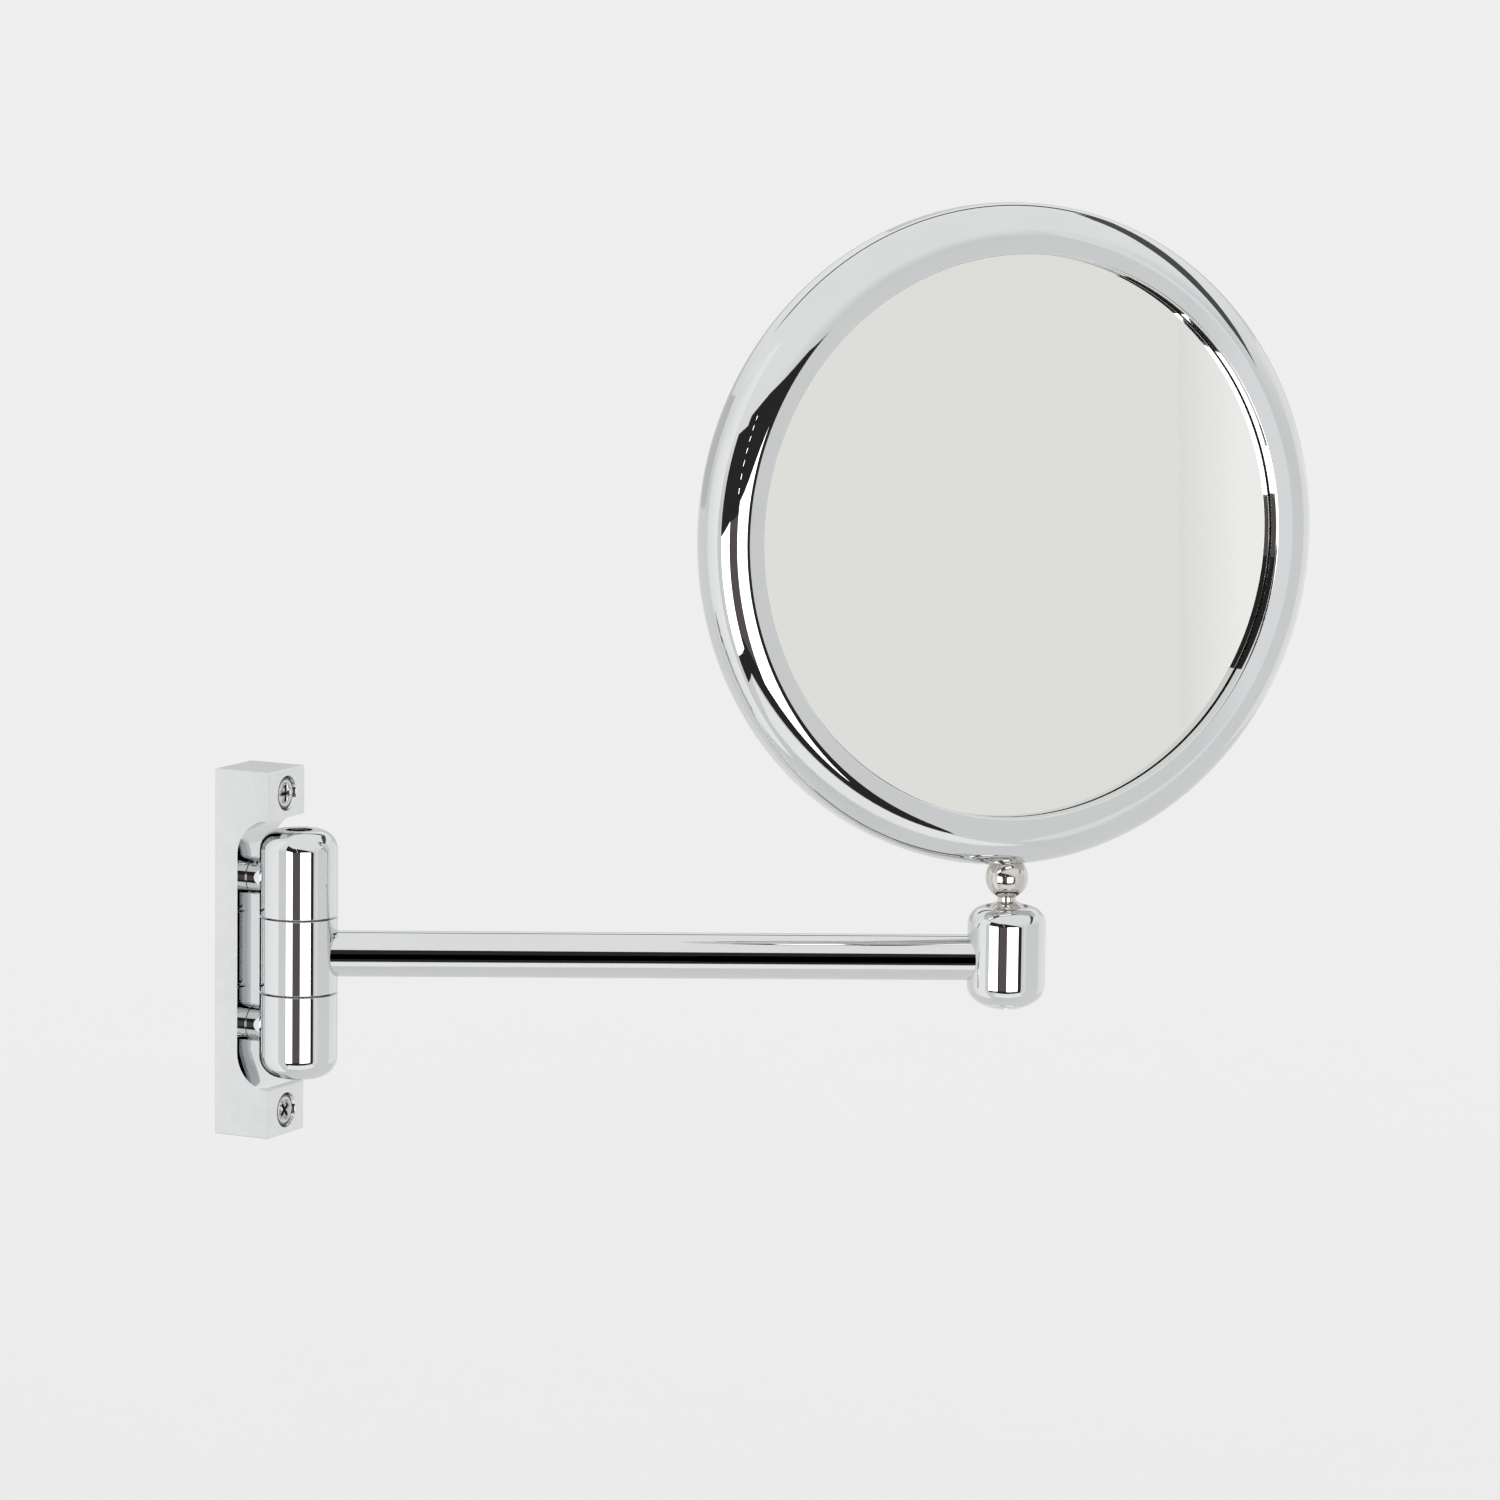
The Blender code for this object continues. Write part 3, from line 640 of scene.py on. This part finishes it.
class MIRROR_OT_screws(Operator):
    """Build the two wall screws and the two machine screws behind the posts."""
    bl_idname = "shaving_mirror.screws"
    bl_label = "Screws"

    def execute(self, context):
        s = context.scene.mirror_bracket
        head, shank, face, proud = s.screw_head / MM, 2.2, s.depth / MM - 0.5, 0.6
        diagonal = math.radians(45)
        section = rounded([(0, 0, 0), (shank, 0, 0.3), (shank, face - 3.0, 0.5),
                           (head, face - 0.55, 0.12), (head, face - 0.12, 0.15),
                           (head - 0.75, face, 0.9), (0, face, 0)], closed=False)
        for node, turn in (("wall_screw_top", 0.0), ("wall_screw_bottom", s.lower_screw_turn)):
            obj = turned_piece(f"{node}_head", section, on_wall(node) @ turned_by(turn),
                               "bracket", "zinc_steel", node, sides=64)
            cuts = crossed(2.6, 0.6, face - 2.4, face + proud, 0.8)
            core = from_bmesh("core", box(-1.0, 1.0, -1.0, 1.0, face - 2.0, face + proud, 0.55))
            cuts.append((core, turned_by(diagonal)))
            for k in range(4):
                mark = from_bmesh("mark", box(1.9, 3.0, -0.09, 0.09, face - 0.15, face + proud))
                cuts.append((mark, turned_by(diagonal * (1 + 2 * k))))
            carved(obj, cuts)
            # Painted shade: faces down in the cross recess and round the head's rim take the darkened zinc.
            obj.data.materials.append(finish("zinc_shade"))
            for shape in obj.data.polygons:
                painted_rim_shade = math.hypot(shape.center.x, shape.center.y) / MM > head - 0.6
                if painted_rim_shade or shape.center.z / MM < face - 0.3:
                    shape.material_index = 1
        shank, cone, end = 1.6, 3.9, 16.6
        section = rounded([(0, 0.4, 0), (cone, 0.4, 0.1), (cone, 0.8, 0.1), (shank, 3.2, 0.2),
                           (shank, end, 0.2), (0, end, 0)], closed=False)
        for node in ("back_screw_top", "back_screw_bottom"):
            obj = turned_piece(f"{node}_head", section, on_wall(node), "bracket", "zinc_steel",
                               node, sides=48)
            carved(obj, crossed(1.9, 0.4, -PAST, 1.7))
        return {"FINISHED"}


# ---- barrel

class MIRROR_OT_barrel(Operator):
    """Build the barrel's two fixed caps, its pivot bolt and the two posts that hold it."""
    bl_idname = "shaving_mirror.barrel"
    bl_label = "Barrel"

    def execute(self, context):
        s = context.scene.mirror_barrel
        b = context.scene.mirror_bracket
        radius, top, corner = s.radius / MM, s.top / MM, s.corner / MM
        low = (s.seam + s.seam_gap / 2) / MM
        bore, hole, floor, thread_end = 3.3, 4.1, 29.2, -27.2
        cap = rounded([
            (bore, low + WASHER_DEEP, 0), (WASHER, low + WASHER_DEEP, 0), (WASHER, low, 0),
            (radius, low, SEAM_EDGE), (radius, top, corner), (hole, top, 0.2), (hole, floor, 0),
            (bore, floor, 0)], step=math.radians(4))
        turned_piece("barrel_cap_upper", cap, BARREL, "bracket", "polished_chrome",
                     "barrel_top_cap", sides=128)
        cap = rounded([
            (0, -top, 0), (radius, -top, s.lower_corner / MM), (radius, -low, SEAM_EDGE),
            (WASHER, -low, 0), (WASHER, -low - WASHER_DEEP, 0), (bore, -low - WASHER_DEEP, 0),
            (bore, thread_end, 0), (0, thread_end, 0)], closed=False, step=math.radians(4))
        turned_piece("barrel_cap_lower", cap, BARREL, "bracket", "polished_chrome",
                     "barrel_bottom_cap", sides=128)
        shank, head, foot, under, crown = 3.0, 3.8, -26.6, 30.8, 35.2
        bolt = rounded([
            (0, foot, 0), (shank, foot, 0.5), (shank, under, 0), (head, under, 0.1),
            (head, crown, 0.3), (2.2, crown, 0.15), (2.2, 32.8, 0), (0, 32.2, 0)], closed=False)
        turned_piece("pivot_bolt_head", bolt, BARREL, "bracket", "zinc_steel", "pivot_bolt",
                     sides=64, shape=hex_socket)
        post, bore, reach, sunk = s.post / MM, 1.9, -BARREL_AT.y / MM, 0.1
        start, end = b.web / MM + 0.05, b.web / MM + 4.0

        def saddle(x, y, z):
            """Carry the post's far end just into the barrel's surface."""
            if z < (start + end) / 2:
                return x, y, z
            return x, y, reach - math.sqrt(radius ** 2 - x ** 2) + sunk

        section = rounded([(bore, start, 0), (post, start, 0.25), (post, end, 0),
                           (bore, end, 0)])
        for node in ("standoff_top", "standoff_bottom"):
            turned_piece(node.replace("standoff", "post"), section, on_wall(node), "bracket",
                         "polished_chrome", node, sides=64, shape=saddle)
        return {"FINISHED"}


def hex_socket(x, y, z):
    """Draw the socket's round wall out to six flats."""
    floor, widest, half_flats = 32.0, 2.3, 2.0
    r = math.hypot(x, y)
    if z > floor and 0.1 < r < widest:
        a = math.atan2(y, x) % math.radians(60) - math.radians(30)
        k = half_flats / (r * math.cos(a))
        return x * k, y * k, z
    return x, y, z


# ---- arm

class MIRROR_OT_arm(Operator):
    """Build the hub that turns in the barrel and the plain round tube it carries."""
    bl_idname = "shaving_mirror.arm"
    bl_label = "Arm"

    def execute(self, context):
        s = context.scene.mirror_barrel
        a = context.scene.mirror_arm
        radius, high = s.radius / MM, (s.seam - s.seam_gap / 2) / MM
        bore, tube, tube_bore, seat = 6.0, a.tube / MM, 5.6, high - WASHER_DEEP
        hub = rounded([
            (bore, -seat, 0), (WASHER, -seat, 0), (WASHER, -high, 0),
            (radius, -high, SEAM_EDGE), (radius, high, SEAM_EDGE), (WASHER, high, 0),
            (WASHER, seat, 0), (bore, seat, 0)], step=math.radians(15))
        turned_piece("arm_hub_sleeve", hub, BARREL, "arm", "polished_chrome", "arm_hub",
                     sides=128)
        far, sunk, start, end = a.knuckle / MM, 0.03, 10, ARM_LENGTH - 10

        def saddles(x, y, z):
            """Carry both ends of the tube just into the round surfaces they meet."""
            if z < ARM_LENGTH / 2:
                return x, y, math.sqrt(radius ** 2 - x ** 2) - sunk
            return x, y, ARM_LENGTH - math.sqrt(far ** 2 - x ** 2) + sunk

        section = rounded([(tube, start, 0), (tube, end, 0), (tube_bore, end, 0),
                           (tube_bore, start, 0)])
        turned_piece("arm_tube_long", section, ARM, "arm", "polished_chrome", "arm_tube",
                     shape=saddles)
        return {"FINISHED"}


class MIRROR_OT_knuckle(Operator):
    """Build the round knuckle at the arm's end and the slotted plug in its underside."""
    bl_idname = "shaving_mirror.knuckle"
    bl_label = "Knuckle"

    def execute(self, context):
        a = context.scene.mirror_arm
        radius, top, corner = a.knuckle / MM, a.knuckle_top / MM, a.knuckle_corner / MM
        dome, rim, arc = a.knuckle_dome / MM, 8.85, 16
        socket, mouth, throat, plug_top = 9.0, 6.5, 14.65, -8.1
        slope = math.asin(rim / dome)
        foot = dome - math.sqrt(dome ** 2 - rim ** 2) - top
        turn = (radius - rim) / (1 - math.sin(slope))
        side = [(rim - 0.1, foot + 1.2, 0)]
        for n in range(arc + 1):
            angle = (slope - math.pi / 2) * (1 - n / arc)
            side.append((radius - turn + turn * math.cos(angle),
                         foot + turn * math.cos(slope) + turn * math.sin(angle), 0))
        inside = [(mouth, top, 0.25), (mouth, throat, 0), (7.4, throat, 0), (socket, 13.2, 0),
                  (socket, foot + 1.2, 0)]
        housing = rounded(side + [(radius, top, corner)] + inside, step=math.radians(4))
        turned_piece("knuckle_housing", softened(housing, math.radians(12)), KNUCKLE, "arm",
                     "polished_chrome", "knuckle", sides=128)
        edge, steps = rim - 0.3, 12
        under = [(r, dome - math.sqrt(dome ** 2 - r ** 2) - top, 0)
                 for r in (edge * n / steps for n in range(steps + 1))]
        under[-1] = (*under[-1][:2], 0.15)
        plug = rounded(under + [(edge, plug_top, 0.4), (0, plug_top, 0)], closed=False)
        obj = turned_piece("adjuster_plug_dome", softened(plug, math.radians(12)), KNUCKLE,
                           "arm", "polished_chrome", "adjuster_plug")
        slot = from_bmesh("slot", box(-7.0, 7.0, -0.7, 0.7, -17.5, -14.0))
        carved(obj, [(slot, turned_by(math.atan2(ARM_ALONG.x, -ARM_ALONG.y)))])
        return {"FINISHED"}


# ---- head

class MIRROR_OT_stem(Operator):
    """Build the turned stem: held ball, neck and the knob under the ring."""
    bl_idname = "shaving_mirror.stem"
    bl_label = "Ball stem"

    def execute(self, context):
        a, h = context.scene.mirror_arm, context.scene.mirror_head
        knob, up, neck, ball = a.knob / MM, a.knob_up / MM, a.neck / MM, 7.3
        ring_up = (RING_AT - BALL_AT).length / MM
        outer, rounding, half = h.radius / MM, h.rounding / MM, h.half / MM
        gap, core = 0.02, 2.9

        def seated(x, y, z):
            """Keep the knob's crown just under the ring's curved outside."""
            over = max(0.0, abs(y) - (half - rounding))
            rim = outer - rounding + math.sqrt(rounding ** 2 - over ** 2)
            limit = ring_up - math.sqrt(rim ** 2 - x ** 2) - gap
            if z > up and math.hypot(x, y) > core:
                return x, y, min(z, limit)
            return x, y, z

        foot = -math.pi / 2
        low, start, crown = math.asin(neck / ball), math.asin(neck / knob), math.radians(151)
        boss, tip, ball_steps, knob_steps = 3.0, ring_up - outer + 8.3, 24, 32
        path = []
        for n in range(ball_steps + 1):
            t = foot + (math.pi - low) * n / ball_steps
            path.append((max(0.0, ball * math.cos(t)), ball * math.sin(t), 0))
        for n in range(knob_steps + 1):
            t = foot + start + (crown - start) * n / knob_steps
            path.append((knob * math.cos(t), up + knob * math.sin(t), 0))
        path += [(boss, tip, 0.3), (0, tip, 0)]
        stretches = softened(rounded(path, closed=False), math.radians(20))
        turned_piece("ball_stem_turned", stretches, STEM, "mirror", "bright_nickel",
                     "ball_stem", shape=seated)
        return {"FINISHED"}


def softened(stretches, limit):
    """Share one normal between neighbouring stretches that meet at less than limit."""
    normals = [[one[1], one[3]] for one in stretches]
    for k in range(len(stretches) - 1):
        a, b = stretches[k][3], stretches[k + 1][1]
        if a.angle(b) < limit:
            both = (a + b).normalized()
            normals[k][1] = both
            normals[k + 1][0] = both
    return [(s[0], n[0], s[2], n[1]) for s, n in zip(stretches, normals)]


class MIRROR_OT_ring(Operator):
    """Build the rounded ring with its flat front rim, and the bezel in its back."""
    bl_idname = "shaving_mirror.ring"
    bl_label = "Ring and bezel"

    def execute(self, context):
        h = context.scene.mirror_head
        outer, half, rounding = h.radius / MM, h.half / MM, h.rounding / MM
        lip, glass = h.lip / MM, (h.half - h.glass_down) / MM
        flat, wall, cavity, ledge = outer - rounding, 2.0, GLASS + 0.6, GLASS + 0.3
        shelf = glass + 0.9
        shell = rounded([
            (flat, -half + 1.0, 0), (flat, -half, 0.15), (outer, -half, rounding - 0.16),
            (outer, half, rounding), (lip, half, 0.7), (lip, shelf, 0.1),
            (cavity, shelf, 0), (cavity, half - wall, 0),
            (outer - wall, half - wall, rounding - wall),
            (outer - wall, -half + wall, rounding - wall - 2.5),
            (flat + 1.0, -half + wall + 0.3, 0)], step=math.radians(3))
        turned_piece("ring_shell", shell, RING, "mirror", "polished_chrome", "mirror_ring",
                     sides=h.sides)
        rim, top = flat - 0.3, 2.4 - glass
        bezel = rounded([
            (rim, top, 0), (ledge, top, 0), (ledge, -shelf, 0), (lip, -shelf, 0.1),
            (lip, -half, 0.35), (rim, -half, 0.2)])
        turned_piece("back_bezel_ring", bezel, RING, "mirror", "polished_chrome",
                     "back_bezel", sides=h.sides)
        return {"FINISHED"}


class MIRROR_OT_glass(Operator):
    """Build the plain front glass and the dished magnifying glass behind it."""
    bl_idname = "shaving_mirror.glass"
    bl_label = "Glasses"

    def execute(self, context):
        h = context.scene.mirror_head
        front = (h.half - h.glass_down) / MM
        back, base = -front, front - 4.0
        plain = rounded([(0, base, 0), (GLASS, base, 0.3), (GLASS, front, 0.3), (0, front, 0)],
                        closed=False)
        turned_piece("front_glass", plain, RING, "mirror", "silvered_glass", "plain_glass",
                     sides=h.sides)
        sag, steps, thick = h.sag / MM, 28, 3.0
        dish = []
        for height, way in ((0.0, 1), (thick, -1)):
            side = []
            for n in range(steps + 1):
                r = GLASS * n / steps
                slope = -2 * sag * r / GLASS ** 2
                normal = Vector((slope, -1.0)).normalized() * way
                side.append((Vector((r, back + height + sag * (1 - (r / GLASS) ** 2))), normal))
            side = side[::way]
            dish.append([(*a, *b) for a, b in zip(side, side[1:])])
        rim = (dish[0][-1][2], Vector((1, 0)), dish[1][0][0], Vector((1, 0)))
        turned_piece("back_glass", dish[0] + [rim] + dish[1], RING, "mirror",
                     "silvered_glass", "magnifying_glass", sides=h.sides)
        return {"FINISHED"}


class MIRROR_OT_inner_parts(Operator):
    """Give every CAD node its finish, hidden ones and carried-over ones alike."""
    bl_idname = "shaving_mirror.inner_parts"
    bl_label = "Inner parts"

    def execute(self, context):
        slots = {row["node"]: row["material_slot"] for row in frame["record"]["subparts"]}
        for name, obj in frame["nodes"].items():
            obj.data.materials.clear()
            obj.data.materials.append(finish(slots[name]))
        return {"FINISHED"}


# ---- studio

WHITE = (1.0, 1.0, 1.0)
FLOOR_RADIUS = 300.0           # metres, so that its edge lies on the horizon
LAMPS, LAMP_WIDE, LAMP_TALL = 7, 0.022, 0.03     # number and sizes in metres


def studio_point(settings, right, towards, height):
    """A point given in metres right of, towards and above the barrel, as the camera sees it."""
    a = settings.azimuth
    return (BARREL_AT + Vector((math.cos(a), math.sin(a), 0)) * right
            + Vector((math.sin(a), -math.cos(a), 0)) * towards + UP * height)


def fading(tree, axis, low, high, start=0.0, stop=1.0, way="LINEAR"):
    """An output that goes from low to high between two places along a generated axis."""
    coords = tree.nodes.new("ShaderNodeTexCoord")
    split = tree.nodes.new("ShaderNodeSeparateXYZ")
    fade = tree.nodes.new("ShaderNodeMapRange")
    fade.interpolation_type = way
    for socket, value in (("From Min", start), ("From Max", stop), ("To Min", low),
                          ("To Max", high)):
        fade.inputs[socket].default_value = value
    tree.links.new(coords.outputs["Generated"], split.inputs["Vector"])
    tree.links.new(split.outputs[axis], fade.inputs["Value"])
    return fade.outputs["Result"]


def glow(name, colour, strength, far_strength=None, fade_over=1.0):
    """An emitting material for the studio's cards, even or fading in from one side."""
    mat = bpy.data.materials.new(name)
    mat.use_nodes = True
    tree = mat.node_tree
    tree.nodes.clear()
    light = tree.nodes.new("ShaderNodeEmission")
    light.inputs["Color"].default_value = (*colour, 1.0)
    light.inputs["Strength"].default_value = strength
    if far_strength is not None:
        fade = fading(tree, "X", far_strength, strength, stop=fade_over)
        tree.links.new(fade, light.inputs["Strength"])
    out = tree.nodes.new("ShaderNodeOutputMaterial")
    tree.links.new(light.outputs["Emission"], out.inputs["Surface"])
    return mat


def card(settings, name, outline, material):
    """A flat card through (right, towards, height) points, unseen by the camera."""
    mesh = bpy.data.meshes.new(name)
    mesh.from_pydata([studio_point(settings, *point) for point in outline], [],
                     [tuple(range(len(outline)))])
    mesh.materials.append(material)
    obj = bpy.data.objects.new(name, mesh)
    bpy.context.scene.collection.objects.link(obj)
    obj.visible_camera = False
    obj.visible_shadow = False
    return obj


def upright(left, right, low, high):
    """The outline of an upright card between two (right, towards) points."""
    return [(*left, low), (*right, low), (*right, high), (*left, high)]


class MIRROR_OT_studio(Operator):
    """Build the pale floor, the even surroundings, the soft boxes and the camera."""
    bl_idname = "shaving_mirror.studio"
    bl_label = "Studio"

    def execute(self, context):
        s = context.scene.mirror_studio
        scene = context.scene
        scene.view_settings.view_transform = "Standard"
        world = bpy.data.worlds.new("studio")
        world.use_nodes = True
        tree = world.node_tree
        sky = tree.nodes["Background"]
        fade = fading(tree, "Z", s.backdrop, s.surroundings, 0.02, 0.5, "SMOOTHSTEP")
        tree.links.new(fade, sky.inputs["Strength"])
        sky.inputs["Color"].default_value = (*WHITE, 1.0)
        scene.world = world

        f = Finish("studio_floor", (s.floor_tone,) * 3, 0.9, 0.0, Specular_IOR_Level=0.0)
        f.tint(f.noise(3.0, 3.0), (s.floor_tone * 0.997,) * 3, (s.floor_tone,) * 3)
        bm = bmesh.new()
        bmesh.ops.create_circle(bm, cap_ends=True, segments=96, radius=FLOOR_RADIUS / MM)
        floor = bpy.data.objects.new("floor", from_bmesh("floor", bm))
        floor.data.materials.append(f.mat)
        floor.location.z = -s.floor_down
        scene.collection.objects.link(floor)

        white = glow("soft_box", WHITE, s.soft_light)
        black = glow("dark_cloth", (1.0, 0.93, 0.92), 0.03)
        brown = glow("brown_cloth", (1.0, 0.86, 0.84), 0.13)
        grey = glow("grey_cloth", (0.97, 0.97, 1.0), 0.10)
        cards = [
            ("soft_box_right", upright((0.225, 1.60), (1.24, 1.56), -0.62, 0.24), white),
            ("soft_box_left", [(-0.20, 0.30, -0.16), (-0.25, 0.95, -0.36), (-0.25, 0.95, 0.17),
                               (-0.20, 0.30, 0.12)], white),
            ("dark_left", [(-0.205, 0.295, -0.25), (-0.262, 0.98, -0.50), (-0.262, 0.98, 0.60),
                           (-0.205, 0.295, 0.35)], black),
            ("camera_corner", upright((-0.45, 1.62), (0.30, 1.62), -0.55, 0.19), brown),
            ("dark_card", [(-0.80, 1.70, -1.05), (1.80, 1.66, -1.05), (1.80, 1.66, 0.20),
                           (1.27, 1.66, 0.47), (0.13, 1.70, 0.87), (-0.80, 1.70, 1.10)], black),
            ("dark_right", [(1.80, towards, height) for towards, height in (
                (0.45, 0.42), (0.10, 0.66), (-0.34, 1.04), (-0.85, 1.38), (-1.54, 1.77),
                (-3.0, 2.50), (-3.0, 3.40), (-1.54, 2.60), (-0.85, 2.0), (-0.34, 1.52),
                (0.10, 1.02), (0.45, 0.58))], grey),
            ("dim_behind", upright((-3.0, -3.0), (3.0, -3.0), 0.05, 1.15),
             glow("dim_sheet", (0.97, 0.98, 1.0), 0.76, 0.66)),
            ("bounce_side", upright((1.80, -0.5), (1.80, -2.9), -0.9, 0.75),
             glow("side_sheet", WHITE, 1.0)),
            ("bounce_right", upright((2.149, 1.593), (2.34, 1.345), -1.4, 1.4),
             glow("far_sheet", (1.0, 0.995, 1.01), 0.99, 0.835, 0.13)),
            ("bounce_low", [(-0.8, 1.62, -1.08), (1.7, 1.62, -1.08), (1.7, 1.0, -1.42),
                            (-0.8, 1.0, -1.42)], glow("low_sheet", WHITE, 1.12)),
            ("dark_behind", [(1.80, -3.0, 2.3), (-2.6, -3.0, 2.3), (-2.6, -3.0, 2.9),
                             (1.80, -3.0, 3.0)], grey),
            ("bounce_left", upright((-1.55, -0.75), (-0.55, 0.35), -1.3, 1.1),
             glow("bounce_sheet", WHITE, 0.95, 1.16)),
        ]
        lamp = glow("lamp_row", WHITE, 6.0)
        for n in range(LAMPS):
            x, z = -0.02 - 0.02 * n, 0.30 + 0.075 * n
            outline = upright((x, 1.58), (x + LAMP_WIDE, 1.58), z, z + LAMP_TALL)
            cards.append((f"lamp_{n}", outline, lamp))
        # The arm's tube lies so near the two front cards' edges that they would stripe it.
        unlit = bpy.data.collections.new("all_but_arm_tube")
        unlit.objects.link(bpy.data.objects["arm_tube_long"])
        unlit.collection_objects[0].light_linking.link_state = "EXCLUDE"
        for name, outline, material in cards:
            obj = card(s, name, outline, material)
            if name in ("soft_box_right", "camera_corner"):
                obj.light_linking.receiver_collection = unlit

        camera = bpy.data.objects.new("camera", bpy.data.cameras.new("camera"))
        scene.collection.objects.link(camera)
        camera.data.lens = s.lens
        camera.data.sensor_width = 36.0
        camera.data.clip_start, camera.data.clip_end = 0.05, 400.0
        a, e, r = s.azimuth, s.elevation, s.roll
        away = Vector((math.sin(a) * math.cos(e), -math.cos(a) * math.cos(e), math.sin(e)))
        level = Vector((math.cos(a), math.sin(a), 0.0))
        above = away.cross(level)
        across = level * math.cos(r) + above * math.sin(r)
        above = above * math.cos(r) - level * math.sin(r)
        camera.matrix_world = axes(across, above, away, Vector(s.aim) + away * s.distance)
        scene.camera = camera
        return {"FINISHED"}


# ---- add-on

OPERATORS = (
    MIRROR_OT_bracket, MIRROR_OT_screws, MIRROR_OT_barrel, MIRROR_OT_arm, MIRROR_OT_knuckle,
    MIRROR_OT_stem, MIRROR_OT_ring, MIRROR_OT_glass, MIRROR_OT_inner_parts, MIRROR_OT_studio,
)

SETTINGS = {
    "mirror_bracket": BracketSizes,
    "mirror_barrel": BarrelSizes,
    "mirror_arm": ArmSizes,
    "mirror_head": HeadSizes,
    "mirror_colours": FinishColours,
    "mirror_studio": StudioSettings,
}


class MIRROR_PT_panel(Panel):
    """Lists the pieces of the shaving mirror."""
    bl_idname = "MIRROR_PT_panel"
    bl_label = "Shaving Mirror"
    bl_space_type = "VIEW_3D"
    bl_region_type = "UI"
    bl_category = "Shaving Mirror"

    def draw(self, context):
        column = self.layout.column()
        for operator in OPERATORS:
            column.operator(operator.bl_idname)


def register():
    """Register the settings, the operators and the panel."""
    for name, group in SETTINGS.items():
        bpy.utils.register_class(group)
        setattr(bpy.types.Scene, name, PointerProperty(type=group))
    for cls in (*OPERATORS, MIRROR_PT_panel):
        bpy.utils.register_class(cls)


def unregister():
    """Remove all that register added."""
    for cls in (MIRROR_PT_panel, *reversed(OPERATORS)):
        bpy.utils.unregister_class(cls)
    for name, group in reversed(SETTINGS.items()):
        delattr(bpy.types.Scene, name)
        bpy.utils.unregister_class(group)


def main():
    """Build every piece in order."""
    register()
    for operator in OPERATORS:
        group, name = operator.bl_idname.split(".")
        getattr(getattr(bpy.ops, group), name)()


if __name__ == "__main__":
    main()
